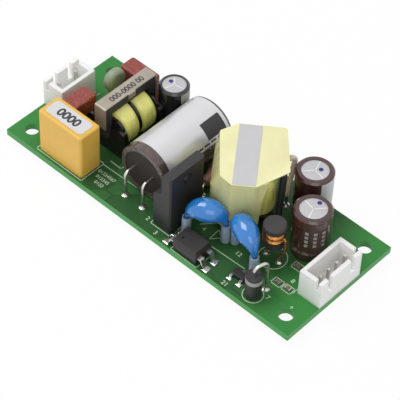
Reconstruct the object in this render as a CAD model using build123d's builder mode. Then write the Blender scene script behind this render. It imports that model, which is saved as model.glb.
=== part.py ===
from build123d import *
import os
from math import cos, hypot, radians, sin, sqrt

# Open frame power supply, in millimetres.
# x runs from the input end to the output end, y from the front edge to the back edge, z is up.
# The origin is the middle of the mounting hole pattern, on the underside of the board.

# Board
board_length = 80.0
board_width = 32.0
board_thickness = 1.6
mount_hole = 3.2
mount_inset = 3.8
lead_trim = 2.0
hole_clearance = 0.3
fit = 0.1

# Pin headers, 2.5 mm pitch
header_pitch = 2.5
header_end = 2.45
header_front = 2.35
header_back = 3.4
header_height = 7.0
header_floor = 1.5
header_wall = 0.85
header_end_wall = 1.0
header_slot = 1.3
header_slot_depth = 4.0
header_slot_inset = 0.3
header_notch = 0.8
header_notch_depth = 2.2
header_pin = 0.64
header_pin_tip = 0.7
input_header_places = 3
output_header_places = 4
output_header_y = -0.3

# Mains filter capacitor and fuses
filter_length = 12.6
filter_width = 6.0
filter_height = 11.5
filter_round = 0.7
filter_at = (-24.8, -11.95)
filter_lead_pitch = 10.0
sticker_margin = 1.0
sticker_thickness = 0.12
fuse_length = 8.3
fuse_width = 4.1
fuse_height = 7.8
fuse_round = 0.6
fuse_lead_pitch = 5.0
line_fuse_gap = 0.3
line_fuse_x = -30.3
neutral_fuse_at = (-26.85, 11.3)
wire_lead = 0.6

# Inrush thermistor
thermistor_diameter = 5.4
thermistor_thickness = 2.4
thermistor_lift = 4.1
thermistor_pitch = 2.5
thermistor_neck = 1.1
thermistor_at = (-29.5, 6.1)

# Common mode choke
choke_at = (-21.1, 1.1)
choke_core_length = 14.7
choke_core_depth = 2.9
choke_leg = 2.2
choke_yoke = 1.8
choke_coil_radius = 5.1
choke_coil_lift = 0.65
choke_coil_round = 1.3
choke_flange = 0.6
choke_flange_width = 9.2
choke_flange_height = 7.0
choke_flange_round = 2.2
choke_divider = 0.5
choke_divider_radius = 4.5
choke_tube_wall = 0.5
choke_block_height = 7.6
choke_block_depth = 0.7
choke_block_round = 1.6
choke_pin = 0.7
choke_pin_inset = 1.2
clip_thickness = 0.3
clip_reach = 5.6
clip_tab = 2.0
clip_tab_drop = 1.3

# Electrolytic capacitors
sleeve_wall = 0.18
bead_depth = 0.3
bead_height = 0.9
bead_lift = 2.0
bung_depth = 1.3
can_lip = 0.8
supply_diameter = 6.7
supply_lip = 0.75
supply_height = 11.3
supply_pitch = 2.5
supply_gap = 0.25
supply_y = 10.75
output_diameter = 8.2
output_lip = 1.2
output_height = 12.0
output_pitch = 3.5
rear_output_at = (21.5, 12.45)
front_output_at = (28.07, 4.27)
bulk_diameter = 12.6
bulk_lip = 1.15
bulk_length = 20.8
bulk_x = -6.3
bulk_end_y = -9.0
bulk_lift = 0.25
bulk_pitch = 5.0
bulk_lead_reach = 2.6
bulk_lead_bend = 0.9
bulk_label_thickness = 0.1
bulk_label_margin = 0.9
bulk_label_cover = 144.0

# Power switch, full-pack body
switch_gap = 0.6
switch_thickness = 4.65
switch_tab = 2.5
switch_width = 10.0
switch_height = 15.9
switch_shoulder = 9.2
switch_end_y = -13.15
switch_hole = 2.6
switch_hole_drop = 2.9
switch_round = 0.35
switch_lead_pitch = 2.54
switch_lead_width = 0.8
switch_lead_thickness = 0.5

# Safety capacitors: rings of the dipped body from a foot to the crown are reach, rise, radius and tilt
safety_radius = 2.55
safety_lift = 7.95
safety_neck = 1.05
safety_rings = ((0.03, 0.14, 0.21, 86.0), (0.20, 0.58, 0.52, 58.0), (0.52, 0.92, 0.87, 20.0))
safety_tube = 2.0
safety_tube_bore = 1.25
safety_tube_height = 4.7
safety_a_feet = ((7.3, -10.3), (14.5, -6.3))
safety_a_crown = 0.5
safety_b_feet = ((16.25, -5.2), (24.3, -8.6))
safety_b_crown = 0.42

# Transformer
transformer_at = (11.0, 3.3)
transformer_turn = -53.13
core_length = 16.1
core_depth = 4.8
core_height = 14.2
core_lift = 1.1
core_leg = 2.0
core_centre_leg = 4.0
core_yoke = 1.9
core_air_gap = 0.2
bobbin_flange = 0.8
bobbin_flange_depth = 9.2
bobbin_tube_wall = 0.5
winding_depth = 12.8
winding_round = 3.9
winding_edge_round = 2.2
rail_depth = 1.7
rail_end_gap = 0.8
bobbin_corner = 2.2
transformer_pin = 0.7
transformer_pin_pitch = 2.8
transformer_pins_a_side = 4
tape_thickness = 0.2
tape_slack = 0.35
tape_reach_left = 6.0
tape_reach_right = 8.0
tape_drop = 2.0
tape_hem = 1.6
tape_soft = 0.9
tape_roof_soft = 0.5
label_thickness = 0.1
fly_wire = 0.6
fly_tube = 1.2
fly_tube_bore = 0.8
fly_bend = 0.7
fly_along = (-2.6, -3.3, -4.0, -1.5)
fly_out = (0.7, 2.2, 3.2, 2.2)
fly_rise = (9.6, 12.8, 11.4, 3.0)
lead_sleeve = 1.5
lead_sleeve_bore = 0.9
lead_along = (0.6, 2.0, 5.3)
lead_out = (0.95, 1.3, 0.9)
lead_rise = (12.6, 13.4, 3.6)

# Output inductor
inductor_at = (24.5, -3.0)
inductor_diameter = 5.0
inductor_height = 6.2
inductor_lift = 4.3
inductor_top_flange = 1.4
inductor_low_flange = 1.8
inductor_low_inset = 0.25
inductor_edge = 0.3
inductor_neck = 2.4
inductor_turn_inset = 0.3
inductor_turn_depth = 0.2
inductor_turns = 5
inductor_pitch = 3.4
inductor_wire = 0.55
inductor_bend = 0.35

# Small parts
opto_at = (11.7, -13.45)
opto_length = 6.4
opto_width = 4.5
opto_height = 3.4
opto_lift = 0.3
opto_taper = 7.0
opto_pitch = 2.54
opto_lead_width = 1.15
opto_lead_thickness = 0.28
opto_lead_reach = 2.6
opto_foot = 0.9
diode_at = (28.1, -13.0)
diode_foot = (28.9, -10.0)
diode_diameter = 3.5
diode_length = 6.2
diode_wire = 0.75
diode_arch = 1.9
regulator_at = (23.2, -11.5)
regulator_length = 3.2
regulator_width = 1.7
regulator_height = 1.1
regulator_lead_pitch = 2.5
regulator_lead_width = 0.6
regulator_lead_thickness = 0.2
regulator_lead_reach = 0.8
snubber_at = (1.0, 3.7)
snubber_turn = 111.0
snubber_diameter = 2.2
snubber_length = 6.0
snubber_lift = 1.0
snubber_reach = 1.6
chip_size = (1.5, 0.95, 0.45)
top_chips = ((29.75, -1.25, 0.0), (29.55, -7.15, 0.0), (32.15, -7.05, 0.0))

# Parts under the board
bridge_at = (-11.0, 2.0)
bridge_size = (6.2, 4.6, 1.4)
rectifier_at = (29.5, -6.2)
rectifier_size = (6.5, 4.6, 1.1)
under_lead = (0.9, 0.7, 0.25)
under_chips = (
    (-14.0, -8.0, 0.0), (6.5, -6.5, 90.0), (10.5, -8.5, 0.0), (11.0, -11.8, 0.0), (18.5, -10.5, 90.0),
    (20.8, -13.0, 0.0), (21.5, -8.5, 90.0), (24.5, 9.0, 90.0), (33.0, 3.0, 90.0),
)

# Worked out from the sizes above
board_top = board_thickness
lead_end = -lead_trim
can_foot = sleeve_wall + fit / 2
drilled = []


def spot(at, lift=0.0, turn=0.0):
    """A plane over a place on the board, turned about z."""
    x_dir = (cos(radians(turn)), sin(radians(turn)), 0)
    return Plane(origin=(at[0], at[1], board_top + lift), x_dir=x_dir, z_dir=(0, 0, 1))


def keep(builder, name):
    """Label a finished piece and write it."""
    builder.part.label = name
    export_step(builder.part, "parts/" + name + ".step")


def drop_lead(at, diameter, top):
    """A straight round lead from a height over the board to below it, with its hole noted."""
    drilled.append((at[0], at[1], diameter))
    with Locations((at[0], at[1], lead_end)):
        Cylinder(diameter / 2, board_top + top - lead_end, align=(Align.CENTER, Align.CENTER, Align.MIN))


def spread(at, pitch, turn=0.0):
    """Two places a pitch apart about a middle."""
    dx = pitch / 2 * cos(radians(turn))
    dy = pitch / 2 * sin(radians(turn))
    return ((at[0] - dx, at[1] - dy), (at[0] + dx, at[1] + dy))


def bent_wire(points, diameter, bend):
    """A round wire along straight runs with rounded corners, added to the open part."""
    with BuildLine() as path:
        FilletPolyline(*points, radius=bend)
    with BuildSketch(Plane(origin=path.line @ 0, z_dir=path.line % 0)) as end:
        Circle(diameter / 2)
    sweep(end.sketch, path=path.line)


os.makedirs("parts", exist_ok=True)


# Pin headers
def header(plane, places, fitted, name):
    """A shrouded header: its slotted wall faces the plane's +y, and the pin row lies on y = 0."""
    row = header_pitch * (places - 1)
    length = row + 2 * header_end
    middle = (header_front - header_back) / 2
    depth = header_front + header_back
    low = (Align.CENTER, Align.CENTER, Align.MIN)
    high = (Align.CENTER, Align.CENTER, Align.MAX)
    slot_x = row / 2 - header_slot_inset
    notch_y = header_front - header_wall - header_notch / 2
    pins = [(header_pitch * i - row / 2, 0) for i in fitted]
    with BuildPart(plane) as housing:
        with Locations((0, middle, 0)):
            Box(length, depth, header_height, align=low)
        with Locations((0, middle, header_floor)):
            Box(length - 2 * header_end_wall, depth - 2 * header_wall, header_height, align=low,
                mode=Mode.SUBTRACT)
        with Locations((-slot_x, header_front, header_height), (slot_x, header_front, header_height)):
            Box(header_slot, 2 * header_wall, header_slot_depth, align=high, mode=Mode.SUBTRACT)
        with Locations((-length / 2, notch_y, header_height), (length / 2, notch_y, header_height)):
            Box(2 * header_end_wall, header_notch, header_notch_depth, align=high, mode=Mode.SUBTRACT)
        with Locations(*pins):
            Box(header_pin + fit, header_pin + fit, 3 * header_floor, mode=Mode.SUBTRACT)
    keep(housing, name + "_housing")
    with BuildPart(plane) as pin_row:
        reach = header_height - header_pin_tip
        with Locations(*[(x, y, lead_end - board_top) for x, y in pins]):
            Box(header_pin, header_pin, reach + board_top - lead_end, align=low)
        chamfer(pin_row.edges().group_by(Axis.Z)[-1], header_pin / 4)
        chamfer(pin_row.edges().group_by(Axis.Z)[0], header_pin / 4)
    for x, y in pins:
        place = plane.from_local_coords((x, y, 0))
        drilled.append((place.X, place.Y, header_pin * sqrt(2)))
    keep(pin_row, name + "_pins")


half_length = board_length / 2
half_width = board_width / 2
input_plane = Plane(origin=(header_front - half_length, 0, board_top), x_dir=(0, 1, 0), z_dir=(0, 0, 1))
output_plane = Plane(origin=(half_length - header_front, output_header_y, board_top), x_dir=(0, -1, 0),
                     z_dir=(0, 0, 1))
header(input_plane, input_header_places, (0, input_header_places - 1), "input_header")
header(output_plane, output_header_places, range(output_header_places), "output_header")


# Mains filter capacitor, fuses and their leads
def moulded_box(plane, length, width, height, radius, name):
    """A moulded body with rounded sides and a rounded top, standing on its plane."""
    with BuildPart(plane) as body:
        Box(length, width, height, align=(Align.CENTER, Align.CENTER, Align.MIN))
        fillet(body.edges().filter_by(Axis.Z), radius)
        fillet(body.faces().sort_by(Axis.Z)[-1].edges(), radius * 0.7)
    keep(body, name)


line_fuse_at = (line_fuse_x, filter_at[1] + filter_width / 2 + line_fuse_gap + fuse_length / 2)
moulded_box(spot(filter_at), filter_length, filter_width, filter_height, filter_round,
            "filter_capacitor_box")
moulded_box(spot(line_fuse_at, turn=90), fuse_length, fuse_width, fuse_height, fuse_round, "line_fuse")
moulded_box(spot(neutral_fuse_at), fuse_length, fuse_width, fuse_height, fuse_round, "neutral_fuse")

with BuildPart() as sticker:
    with BuildSketch(spot(filter_at, filter_height)):
        RectangleRounded(filter_length - 2 * sticker_margin, filter_width - 2 * sticker_margin,
                         sticker_margin * 0.8)
    extrude(amount=sticker_thickness)
keep(sticker, "filter_capacitor_sticker")

# Inrush thermistor: a coated disc on edge, with its coat run down on to the leads
thermistor_middle = thermistor_lift + thermistor_diameter / 2
thermistor_feet = spread(thermistor_at, thermistor_pitch, 90)
thermistor_hang = thermistor_lift - 0.5 * thermistor_neck
with BuildPart() as thermistor:
    disc_plane = Plane(origin=(*thermistor_at, board_top + thermistor_middle), z_dir=(1, 0, 0))
    with BuildSketch(disc_plane):
        Circle(thermistor_diameter / 2)
    extrude(amount=thermistor_thickness / 2, both=True)
    fillet(thermistor.edges().filter_by(GeomType.CIRCLE), thermistor_thickness * 0.4)
    for foot in thermistor_feet:
        with Locations((foot[0], foot[1], board_top + thermistor_hang)):
            Cylinder(thermistor_neck / 2, thermistor_middle - thermistor_hang,
                     align=(Align.CENTER, Align.CENTER, Align.MIN))
keep(thermistor, "inrush_thermistor")

# Supply capacitor and snubber places are needed for the shared wire leads
bulk_z = bulk_lift + bulk_diameter / 2
bulk_side = bulk_diameter / 2 + bulk_label_thickness
supply_at = (bulk_x - bulk_side - supply_gap - supply_diameter / 2, supply_y)
snubber_z = snubber_lift + snubber_diameter / 2
snubber_ends = spread(snubber_at, snubber_length, snubber_turn)
snubber_feet = spread(snubber_at, snubber_length + 2 * snubber_reach, snubber_turn)

with BuildPart() as wire_leads:
    for fuse_at, turn in ((line_fuse_at, 90), (neutral_fuse_at, 0)):
        for foot in spread(fuse_at, fuse_lead_pitch, turn):
            drop_lead(foot, wire_lead, 0)
    for foot in spread(filter_at, filter_lead_pitch):
        drop_lead(foot, wire_lead, 0)
    for foot in thermistor_feet:
        drop_lead(foot, wire_lead, thermistor_hang)
    for foot in spread(supply_at, supply_pitch):
        drop_lead(foot, wire_lead, can_foot)
    for foot, end in zip(snubber_feet, snubber_ends):
        drilled.append((*foot, wire_lead))
        high = board_top + snubber_z
        bent_wire([(*end, high), (*foot, high), (*foot, lead_end)], wire_lead, snubber_reach / 2)
keep(wire_leads, "tinned_wire_leads")


# Common mode choke
coil_z = choke_coil_lift + choke_coil_radius
leg_low = coil_z - choke_leg / 2
core_under = coil_z + choke_coil_radius + fit
choke_top = core_under + choke_leg
choke_half = choke_core_length / 2
flange_out = choke_half - choke_yoke - fit
coil_half = flange_out - choke_flange
block_out = flange_out + choke_block_depth
side_plane = Plane(origin=(*choke_at, board_top), x_dir=(0, 1, 0), z_dir=(1, 0, 0))
end_plane = Plane(origin=(*choke_at, board_top), x_dir=(1, 0, 0), z_dir=(0, -1, 0))
tube_width = choke_core_depth + 2 * fit + 2 * choke_tube_wall
tube_height = choke_leg + 2 * fit + 2 * choke_tube_wall

with BuildPart() as choke_core:
    with BuildSketch(side_plane):
        for side in (-1, 1):
            with BuildLine():
                Polyline((0, choke_top), (side * choke_half, choke_top), (side * choke_half, leg_low),
                         (0, leg_low), (0, leg_low + choke_leg),
                         (side * (choke_half - choke_yoke), leg_low + choke_leg),
                         (side * (choke_half - choke_yoke), core_under), (0, core_under), close=True)
            make_face()
    halves = choke_core_depth / 2
    extrude(amount=halves, both=True)
    seam = Plane(origin=(*choke_at, board_top), z_dir=(0, 1, 0))
    split(bisect_by=seam, keep=Keep.BOTH)
keep(choke_core, "choke_core")

with BuildPart() as choke_bobbin:
    block_width = 2 * choke_coil_radius + choke_flange
    with BuildSketch(end_plane):
        with Locations((0, coil_z)):
            Rectangle(tube_width, tube_height)
    extrude(amount=flange_out, both=True)
    for place in (-flange_out, coil_half):
        with BuildSketch(end_plane.offset(-place - choke_flange)):
            with Locations((0, coil_z)):
                RectangleRounded(choke_flange_width, choke_flange_height, choke_flange_round)
        extrude(amount=choke_flange)
    with BuildSketch(end_plane):
        with Locations((0, coil_z)):
            Circle(choke_divider_radius)
    extrude(amount=choke_divider / 2, both=True)
    for place in (coil_half, -block_out):
        with BuildSketch(end_plane.offset(place)) as block:
            with Locations((0, choke_block_height / 2)):
                Rectangle(block_width, choke_block_height)
            fillet(block.vertices().group_by(Axis.Y)[-1], choke_block_round)
        extrude(amount=block_out - coil_half)
    with Locations((choke_at[0], choke_at[1] - flange_out, board_top + leg_low - fit)):
        Box(choke_core_depth + 2 * fit, choke_block_depth + fit, choke_top,
            align=(Align.CENTER, Align.MAX, Align.MIN), mode=Mode.SUBTRACT)
    with Locations((choke_at[0], choke_at[1] + flange_out, board_top + leg_low - fit)):
        Box(choke_core_depth + 2 * fit, choke_block_depth + fit, choke_top,
            align=(Align.CENTER, Align.MIN, Align.MIN), mode=Mode.SUBTRACT)
    with BuildSketch(end_plane):
        with Locations((0, coil_z)):
            Rectangle(choke_core_depth + 2 * fit, choke_leg + 2 * fit)
    extrude(amount=choke_half, both=True, mode=Mode.SUBTRACT)
keep(choke_bobbin, "choke_bobbin")

with BuildPart() as choke_windings:
    for place in (choke_divider / 2 + fit, -coil_half + fit):
        coil_length = coil_half - choke_divider / 2 - 2 * fit
        with BuildSketch(end_plane.offset(-place - coil_length)):
            with Locations((0, coil_z)):
                Circle(choke_coil_radius)
        extrude(amount=coil_length)
    fillet(choke_windings.edges().filter_by(GeomType.CIRCLE), choke_coil_round)
    with BuildSketch(end_plane):
        with Locations((0, coil_z)):
            Rectangle(tube_width + 2 * fit, tube_height + 2 * fit)
    extrude(amount=choke_half, both=True, mode=Mode.SUBTRACT)
keep(choke_windings, "choke_windings")

with BuildPart() as choke_clip:
    clip_half = choke_half + fit
    clip_outside = clip_half + clip_thickness
    clip_low = choke_top - clip_reach
    clip_top = choke_top + clip_thickness
    clip_width = choke_core_depth + 2 * fit
    with BuildSketch(side_plane):
        with BuildLine():
            Polyline((-clip_half, clip_low), (-clip_half, choke_top), (clip_half, choke_top),
                     (clip_half, clip_low), (clip_outside, clip_low), (clip_outside, clip_top),
                     (-clip_outside, clip_top), (-clip_outside, clip_low), close=True)
        make_face()
    extrude(amount=clip_width / 2, both=True)
    fillet(choke_clip.faces().sort_by(Axis.Z)[-1].edges().filter_by(Axis.X), clip_thickness)
    with Locations((choke_at[0] + clip_width / 2, choke_at[1], board_top + clip_top)):
        Box(clip_thickness, clip_tab, clip_tab_drop, align=(Align.MIN, Align.CENTER, Align.MAX))
keep(choke_clip, "choke_clip")

with BuildPart() as choke_pins:
    pin_x = block_width / 2 - choke_pin_inset
    pin_y = (coil_half + block_out) / 2
    for dx in (-pin_x, pin_x):
        for dy in (-pin_y, pin_y):
            drop_lead((choke_at[0] + dx, choke_at[1] + dy), choke_pin, 0)
keep(choke_pins, "choke_pins")


# Electrolytic capacitors
def electrolytic(plane, diameter, height, lip, can_name, sleeve_name):
    """A can in a shrink sleeve along the plane's z, with a bead near its open end."""
    side = Plane(origin=plane.origin, x_dir=plane.x_dir, z_dir=-plane.y_dir)
    outer = diameter / 2
    can_r = outer - sleeve_wall - fit / 2
    top = height - sleeve_wall
    bead = bead_lift + bead_height
    waist = bead_lift + bead_height / 2
    with BuildPart() as can:
        with BuildSketch(side):
            with BuildLine():
                Polyline((0, bung_depth), (can_r - can_lip, bung_depth), (can_r - can_lip, can_foot),
                         (can_r, can_foot), (can_r, bead_lift), (can_r - bead_depth, waist), (can_r, bead),
                         (can_r, top - can_lip / 2), (can_r - can_lip / 2, top), (0, top), (0, bung_depth))
            make_face()
        revolve(axis=Axis(plane.origin, plane.z_dir))
    keep(can, can_name)
    inner = outer - sleeve_wall
    with BuildPart() as sleeve:
        with BuildSketch(side):
            with BuildLine():
                Polyline((outer - lip, 0), (outer - sleeve_wall, 0), (outer, sleeve_wall), (outer, bead_lift),
                         (outer - bead_depth, waist), (outer, bead), (outer, height - can_lip / 2),
                         (outer - can_lip / 2, height), (outer - lip, height), (outer - lip, top + fit / 2),
                         (inner - can_lip / 2, top + fit / 2), (inner, top - can_lip / 2), (inner, bead),
                         (inner - bead_depth, waist), (inner, bead_lift), (inner, sleeve_wall),
                         (outer - lip, sleeve_wall), close=True)
            make_face()
        revolve(axis=Axis(plane.origin, plane.z_dir))
    keep(sleeve, sleeve_name)
    return can_r - can_lip - fit / 2


def bung(plane, radius, lead_places, lead):
    """The rubber bung in the open end of a can, with a hole for each lead, in the open part."""
    with BuildSketch(plane.offset(can_foot)) as face:
        Circle(radius)
        for place in lead_places:
            with Locations(place):
                Circle(lead / 2 + fit / 2, mode=Mode.SUBTRACT)
    extrude(face.sketch, amount=bung_depth - fit - can_foot)


supply_plane = spot(supply_at)
supply_bung_r = electrolytic(supply_plane, supply_diameter, supply_height, supply_lip, "supply_capacitor_can",
                             "supply_capacitor_sleeve")
with BuildPart() as supply_bung:
    bung(supply_plane, supply_bung_r, (), wire_lead)
keep(supply_bung, "supply_capacitor_bung")

output_planes = []
for name, at in (("rear_output_capacitor", rear_output_at), ("front_output_capacitor", front_output_at)):
    output_planes.append(spot(at))
    output_bung_r = electrolytic(spot(at), output_diameter, output_height, output_lip, name + "_can",
                                 name + "_sleeve")
with BuildPart() as output_bungs:
    for plane in output_planes:
        bung(plane, output_bung_r, (), wire_lead)
keep(output_bungs, "output_capacitor_bungs")
with BuildPart() as output_leads:
    for at in (rear_output_at, front_output_at):
        for foot in spread(at, output_pitch, 45):
            drop_lead(foot, wire_lead, can_foot)
keep(output_leads, "output_capacitor_leads")

# The bulk capacitor lies along y with its open end to the front
bulk_plane = Plane(origin=(bulk_x, bulk_end_y, board_top + bulk_z), x_dir=(1, 0, 0), z_dir=(0, 1, 0))
bulk_bung_r = electrolytic(bulk_plane, bulk_diameter, bulk_length, bulk_lip, "bulk_capacitor_can",
                           "bulk_capacitor_sleeve")
bulk_exits = ((-bulk_pitch / 2, 0), (bulk_pitch / 2, 0))
with BuildPart() as bulk_bung:
    bung(bulk_plane, bulk_bung_r, bulk_exits, diode_wire)
keep(bulk_bung, "bulk_capacitor_bung")
with BuildPart() as bulk_leads:
    for dx, _ in bulk_exits:
        foot = (bulk_x + dx, bulk_end_y - bulk_lead_reach)
        drilled.append((foot[0], foot[1], diode_wire))
        high = board_top + bulk_z
        bent_wire([(foot[0], bulk_end_y + bung_depth, high), (foot[0], foot[1], high),
                   (foot[0], foot[1], lead_end)], diode_wire, bulk_lead_bend)
keep(bulk_leads, "bulk_capacitor_leads")

with BuildPart() as bulk_label:
    label_start = bead_lift + bead_height - bulk_label_margin
    label_length = bulk_length - can_lip - label_start
    with BuildSketch(bulk_plane.offset(label_start)):
        Circle(bulk_side)
        Circle(bulk_diameter / 2, mode=Mode.SUBTRACT)
        with BuildLine():
            far_edge = 2 * bulk_diameter
            half_cover = radians(bulk_label_cover / 2)
            Polyline((0, 0), (far_edge * sin(half_cover), -far_edge * cos(half_cover)),
                     (-far_edge * sin(half_cover), -far_edge * cos(half_cover)), close=True)
        make_face(mode=Mode.INTERSECT)
    extrude(amount=label_length)
keep(bulk_label, "bulk_capacitor_label")

# Power switch: a full-pack body on its leads, flat face to the output end
switch_x = bulk_x + bulk_side + switch_gap
switch_y = switch_end_y + switch_width / 2
switch_face = switch_x + switch_thickness
switch_side = Plane(origin=(switch_x, switch_y, board_top), x_dir=(1, 0, 0), z_dir=(0, -1, 0))
with BuildPart() as switch_body:
    step = switch_thickness - switch_tab
    with BuildSketch(switch_side):
        with BuildLine():
            Polyline((switch_round, 0), (switch_thickness, 0), (switch_thickness, switch_height),
                     (step + switch_round, switch_height), (step, switch_height - switch_round),
                     (step, switch_shoulder + step / 2), (0, switch_shoulder), (0, switch_round), close=True)
        make_face()
    extrude(amount=switch_width / 2, both=True)
    with BuildSketch(Plane(origin=(switch_x, switch_y, board_top + switch_height - switch_hole_drop),
                           x_dir=(0, 1, 0), z_dir=(1, 0, 0))):
        Circle(switch_hole / 2)
    extrude(amount=switch_thickness, mode=Mode.SUBTRACT)
    chamfer(switch_body.faces().sort_by(Axis.X)[-1].edges().filter_by(Axis.Z), switch_round)
keep(switch_body, "power_switch_body")

with BuildPart() as switch_leads:
    lead_x = switch_x + step
    for i in (-1, 0, 1):
        lead_y = switch_y + i * switch_lead_pitch
        drilled.append((lead_x, lead_y, hypot(switch_lead_width, switch_lead_thickness)))
        with Locations((lead_x, lead_y, lead_end)):
            Box(switch_lead_thickness, switch_lead_width, board_top - lead_end,
                align=(Align.CENTER, Align.CENTER, Align.MIN))
keep(switch_leads, "power_switch_leads")


# Safety capacitors
def safety_capacitor(feet, crown, name):
    """A dipped body arched between two feet, its coat thinning down both legs into the tubes."""
    start = Vector(*feet[0], board_top)
    finish = Vector(*feet[1], board_top)
    along = (finish - start).normalized()
    across = Vector(-along.Y, along.X, 0)
    span = (finish - start).length
    rise = safety_lift - safety_tube_height
    inside = safety_tube_height - safety_neck

    def ring(reach, height, radius, tilt):
        """One round section at a distance from the first foot, facing along the arch."""
        origin = start + along * reach + Vector(0, 0, height)
        facing = along * cos(radians(tilt)) + Vector(0, 0, sin(radians(tilt)))
        with BuildSketch(Plane(origin=origin, x_dir=across, z_dir=facing)) as face:
            Circle(radius)
        return face.sketch

    up = [ring(0, inside, safety_neck / 2, 90)]
    down = [ring(span, inside, safety_neck / 2, -90)]
    for reach, lift, size, tilt in safety_rings:
        height = safety_tube_height + rise * lift
        up.append(ring(span * crown * reach, height, safety_radius * size, tilt))
        down.insert(0, ring(span - span * (1 - crown) * reach, height, safety_radius * size, -tilt))
    with BuildPart() as body:
        loft(up + [ring(span * crown, safety_lift, safety_radius, 0)] + down)
    keep(body, name)


safety_capacitor(safety_a_feet, safety_a_crown, "safety_capacitor_a")
safety_capacitor(safety_b_feet, safety_b_crown, "safety_capacitor_b")
safety_feet = safety_a_feet + safety_b_feet
with BuildPart() as safety_leads:
    for foot in safety_feet:
        drop_lead(foot, wire_lead, safety_tube_height - safety_neck)
keep(safety_leads, "safety_capacitor_leads")
with BuildPart() as safety_tubes:
    with BuildSketch(Plane.XY.offset(board_top)):
        with Locations(*safety_feet):
            Circle(safety_tube / 2)
            Circle(safety_tube_bore / 2, mode=Mode.SUBTRACT)
    extrude(amount=safety_tube_height)
keep(safety_tubes, "safety_capacitor_tubes")


# Transformer, turned on the board
turned = spot(transformer_at, turn=transformer_turn)
core_side = Plane(origin=turned.origin, x_dir=turned.x_dir, z_dir=-turned.y_dir)
core_top = core_lift + core_height
core_middle = core_lift + core_height / 2
core_half = core_length / 2
window_low = core_lift + core_yoke
window_high = core_top - core_yoke
window_half = core_half - core_leg
flange_length = 2 * (window_half - fit)
tube_u = core_centre_leg + 2 * fit + 2 * bobbin_tube_wall
tube_v = core_depth + 2 * fit + 2 * bobbin_tube_wall

with BuildPart() as transformer_core:
    with BuildSketch(core_side):
        with Locations((0, core_middle)):
            Rectangle(core_length, core_height)
        for side in (-1, 1):
            inner = side * core_centre_leg / 2
            with Locations(((inner + side * window_half) / 2, core_middle)):
                Rectangle(window_half - core_centre_leg / 2, window_high - window_low, mode=Mode.SUBTRACT)
        with Locations((0, core_middle)):
            Rectangle(core_centre_leg, core_air_gap, mode=Mode.SUBTRACT)
    extrude(amount=core_depth / 2, both=True)
    split(bisect_by=turned.offset(core_middle), keep=Keep.BOTH)
keep(transformer_core, "transformer_core")

rail_v = winding_depth / 2 - rail_depth / 2
with BuildPart(turned) as transformer_bobbin:
    low = (Align.CENTER, Align.CENTER, Align.MIN)
    with Locations((0, 0, window_low + fit)):
        Box(tube_u, tube_v, window_high - window_low - 2 * fit, align=low)
    with BuildSketch(turned.offset(window_low + fit)):
        RectangleRounded(flange_length, winding_depth, bobbin_corner)
    extrude(amount=bobbin_flange)
    with BuildSketch(turned.offset(window_high - fit - bobbin_flange)):
        RectangleRounded(flange_length, bobbin_flange_depth, bobbin_corner)
    extrude(amount=bobbin_flange)
    with Locations((0, -rail_v, 0), (0, rail_v, 0)):
        Box(flange_length - 2 * rail_end_gap, rail_depth, window_low + fit, align=low)
    with Locations((0, 0, window_low)):
        Box(core_centre_leg + 2 * fit, core_depth + 2 * fit, core_height, align=low, mode=Mode.SUBTRACT)
keep(transformer_bobbin, "transformer_bobbin")

winding_low = window_low + bobbin_flange + 2 * fit
winding_high = window_high - bobbin_flange - 2 * fit
winding_plane = turned.offset(winding_low)
with BuildPart() as transformer_winding:
    with BuildSketch(winding_plane):
        RectangleRounded(flange_length - 2 * fit, winding_depth, winding_round)
    extrude(amount=winding_high - winding_low)
    fillet(transformer_winding.faces().sort_by(Axis.Z)[-1].edges(), winding_edge_round)
    with BuildSketch(winding_plane):
        Rectangle(tube_u + 2 * fit, tube_v + 2 * fit)
    extrude(amount=winding_high - winding_low, mode=Mode.SUBTRACT)
keep(transformer_winding, "transformer_winding")

# The wide tape lies over the core's top, hangs free at one side and folds down round the other
tape_end = core_half + tape_slack
tape_in = core_depth / 2 + fit
tape_left = winding_depth / 2 + tape_slack


def tape_band(height, edge):
    """A thin band along the outside of an open edge line, as a sketch at a height."""
    with BuildSketch(turned.offset(height)) as band:
        with BuildLine():
            outline = FilletPolyline(*edge, radius=tape_soft)
            offset(outline, amount=tape_thickness, side=Side.RIGHT, closed=True)
        make_face()
    return band.sketch


fold_top = ((-tape_reach_left, -tape_reach_left), (core_half - 1.75, -tape_reach_left + 1.2),
            (tape_end, -tape_in), (tape_end, tape_in), (core_half - 1.2, tape_reach_right - 3.2))
fold_middle = ((-tape_reach_left + 0.4, -tape_left), (core_half - 3.0, -tape_left), (tape_end, -tape_in),
               (tape_end, tape_in), (tape_end - 0.4, tape_in + 1.4))
fold_low = ((-tape_reach_left + 0.6, -tape_left), (core_half - 3.0, -tape_left), (tape_end, -tape_in),
            (tape_end, tape_in), (tape_end - 0.2, tape_in + 0.5))
with BuildPart() as transformer_tape:
    loft([tape_band(core_top, fold_top), tape_band(window_high - tape_drop, fold_middle),
          tape_band(tape_hem, fold_low)], ruled=True)
    with BuildSketch(turned.offset(core_top)) as roof:
        with BuildLine():
            Polyline((-tape_reach_left, -tape_reach_left), fold_top[1], fold_top[2], fold_top[3],
                     (core_half - 4.55, tape_reach_right + 0.75), (-tape_end, tape_reach_right - 0.7),
                     (-tape_end, -tape_in), close=True)
        make_face()
        fillet(roof.vertices(), tape_roof_soft)
        offset(amount=tape_thickness)
    extrude(amount=tape_thickness)
    with Locations(turned.offset(window_low).location):
        with Locations((-tape_end, 0, 0)):
            Box(tape_thickness, 2 * tape_in, core_top - window_low,
                align=(Align.MAX, Align.CENTER, Align.MIN))
keep(transformer_tape, "transformer_tape")

with BuildPart(turned.offset(core_top + tape_thickness)) as transformer_label:
    Box(2 * tape_end, core_depth, label_thickness, align=(Align.CENTER, Align.CENTER, Align.MIN))
keep(transformer_label, "transformer_label")

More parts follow.
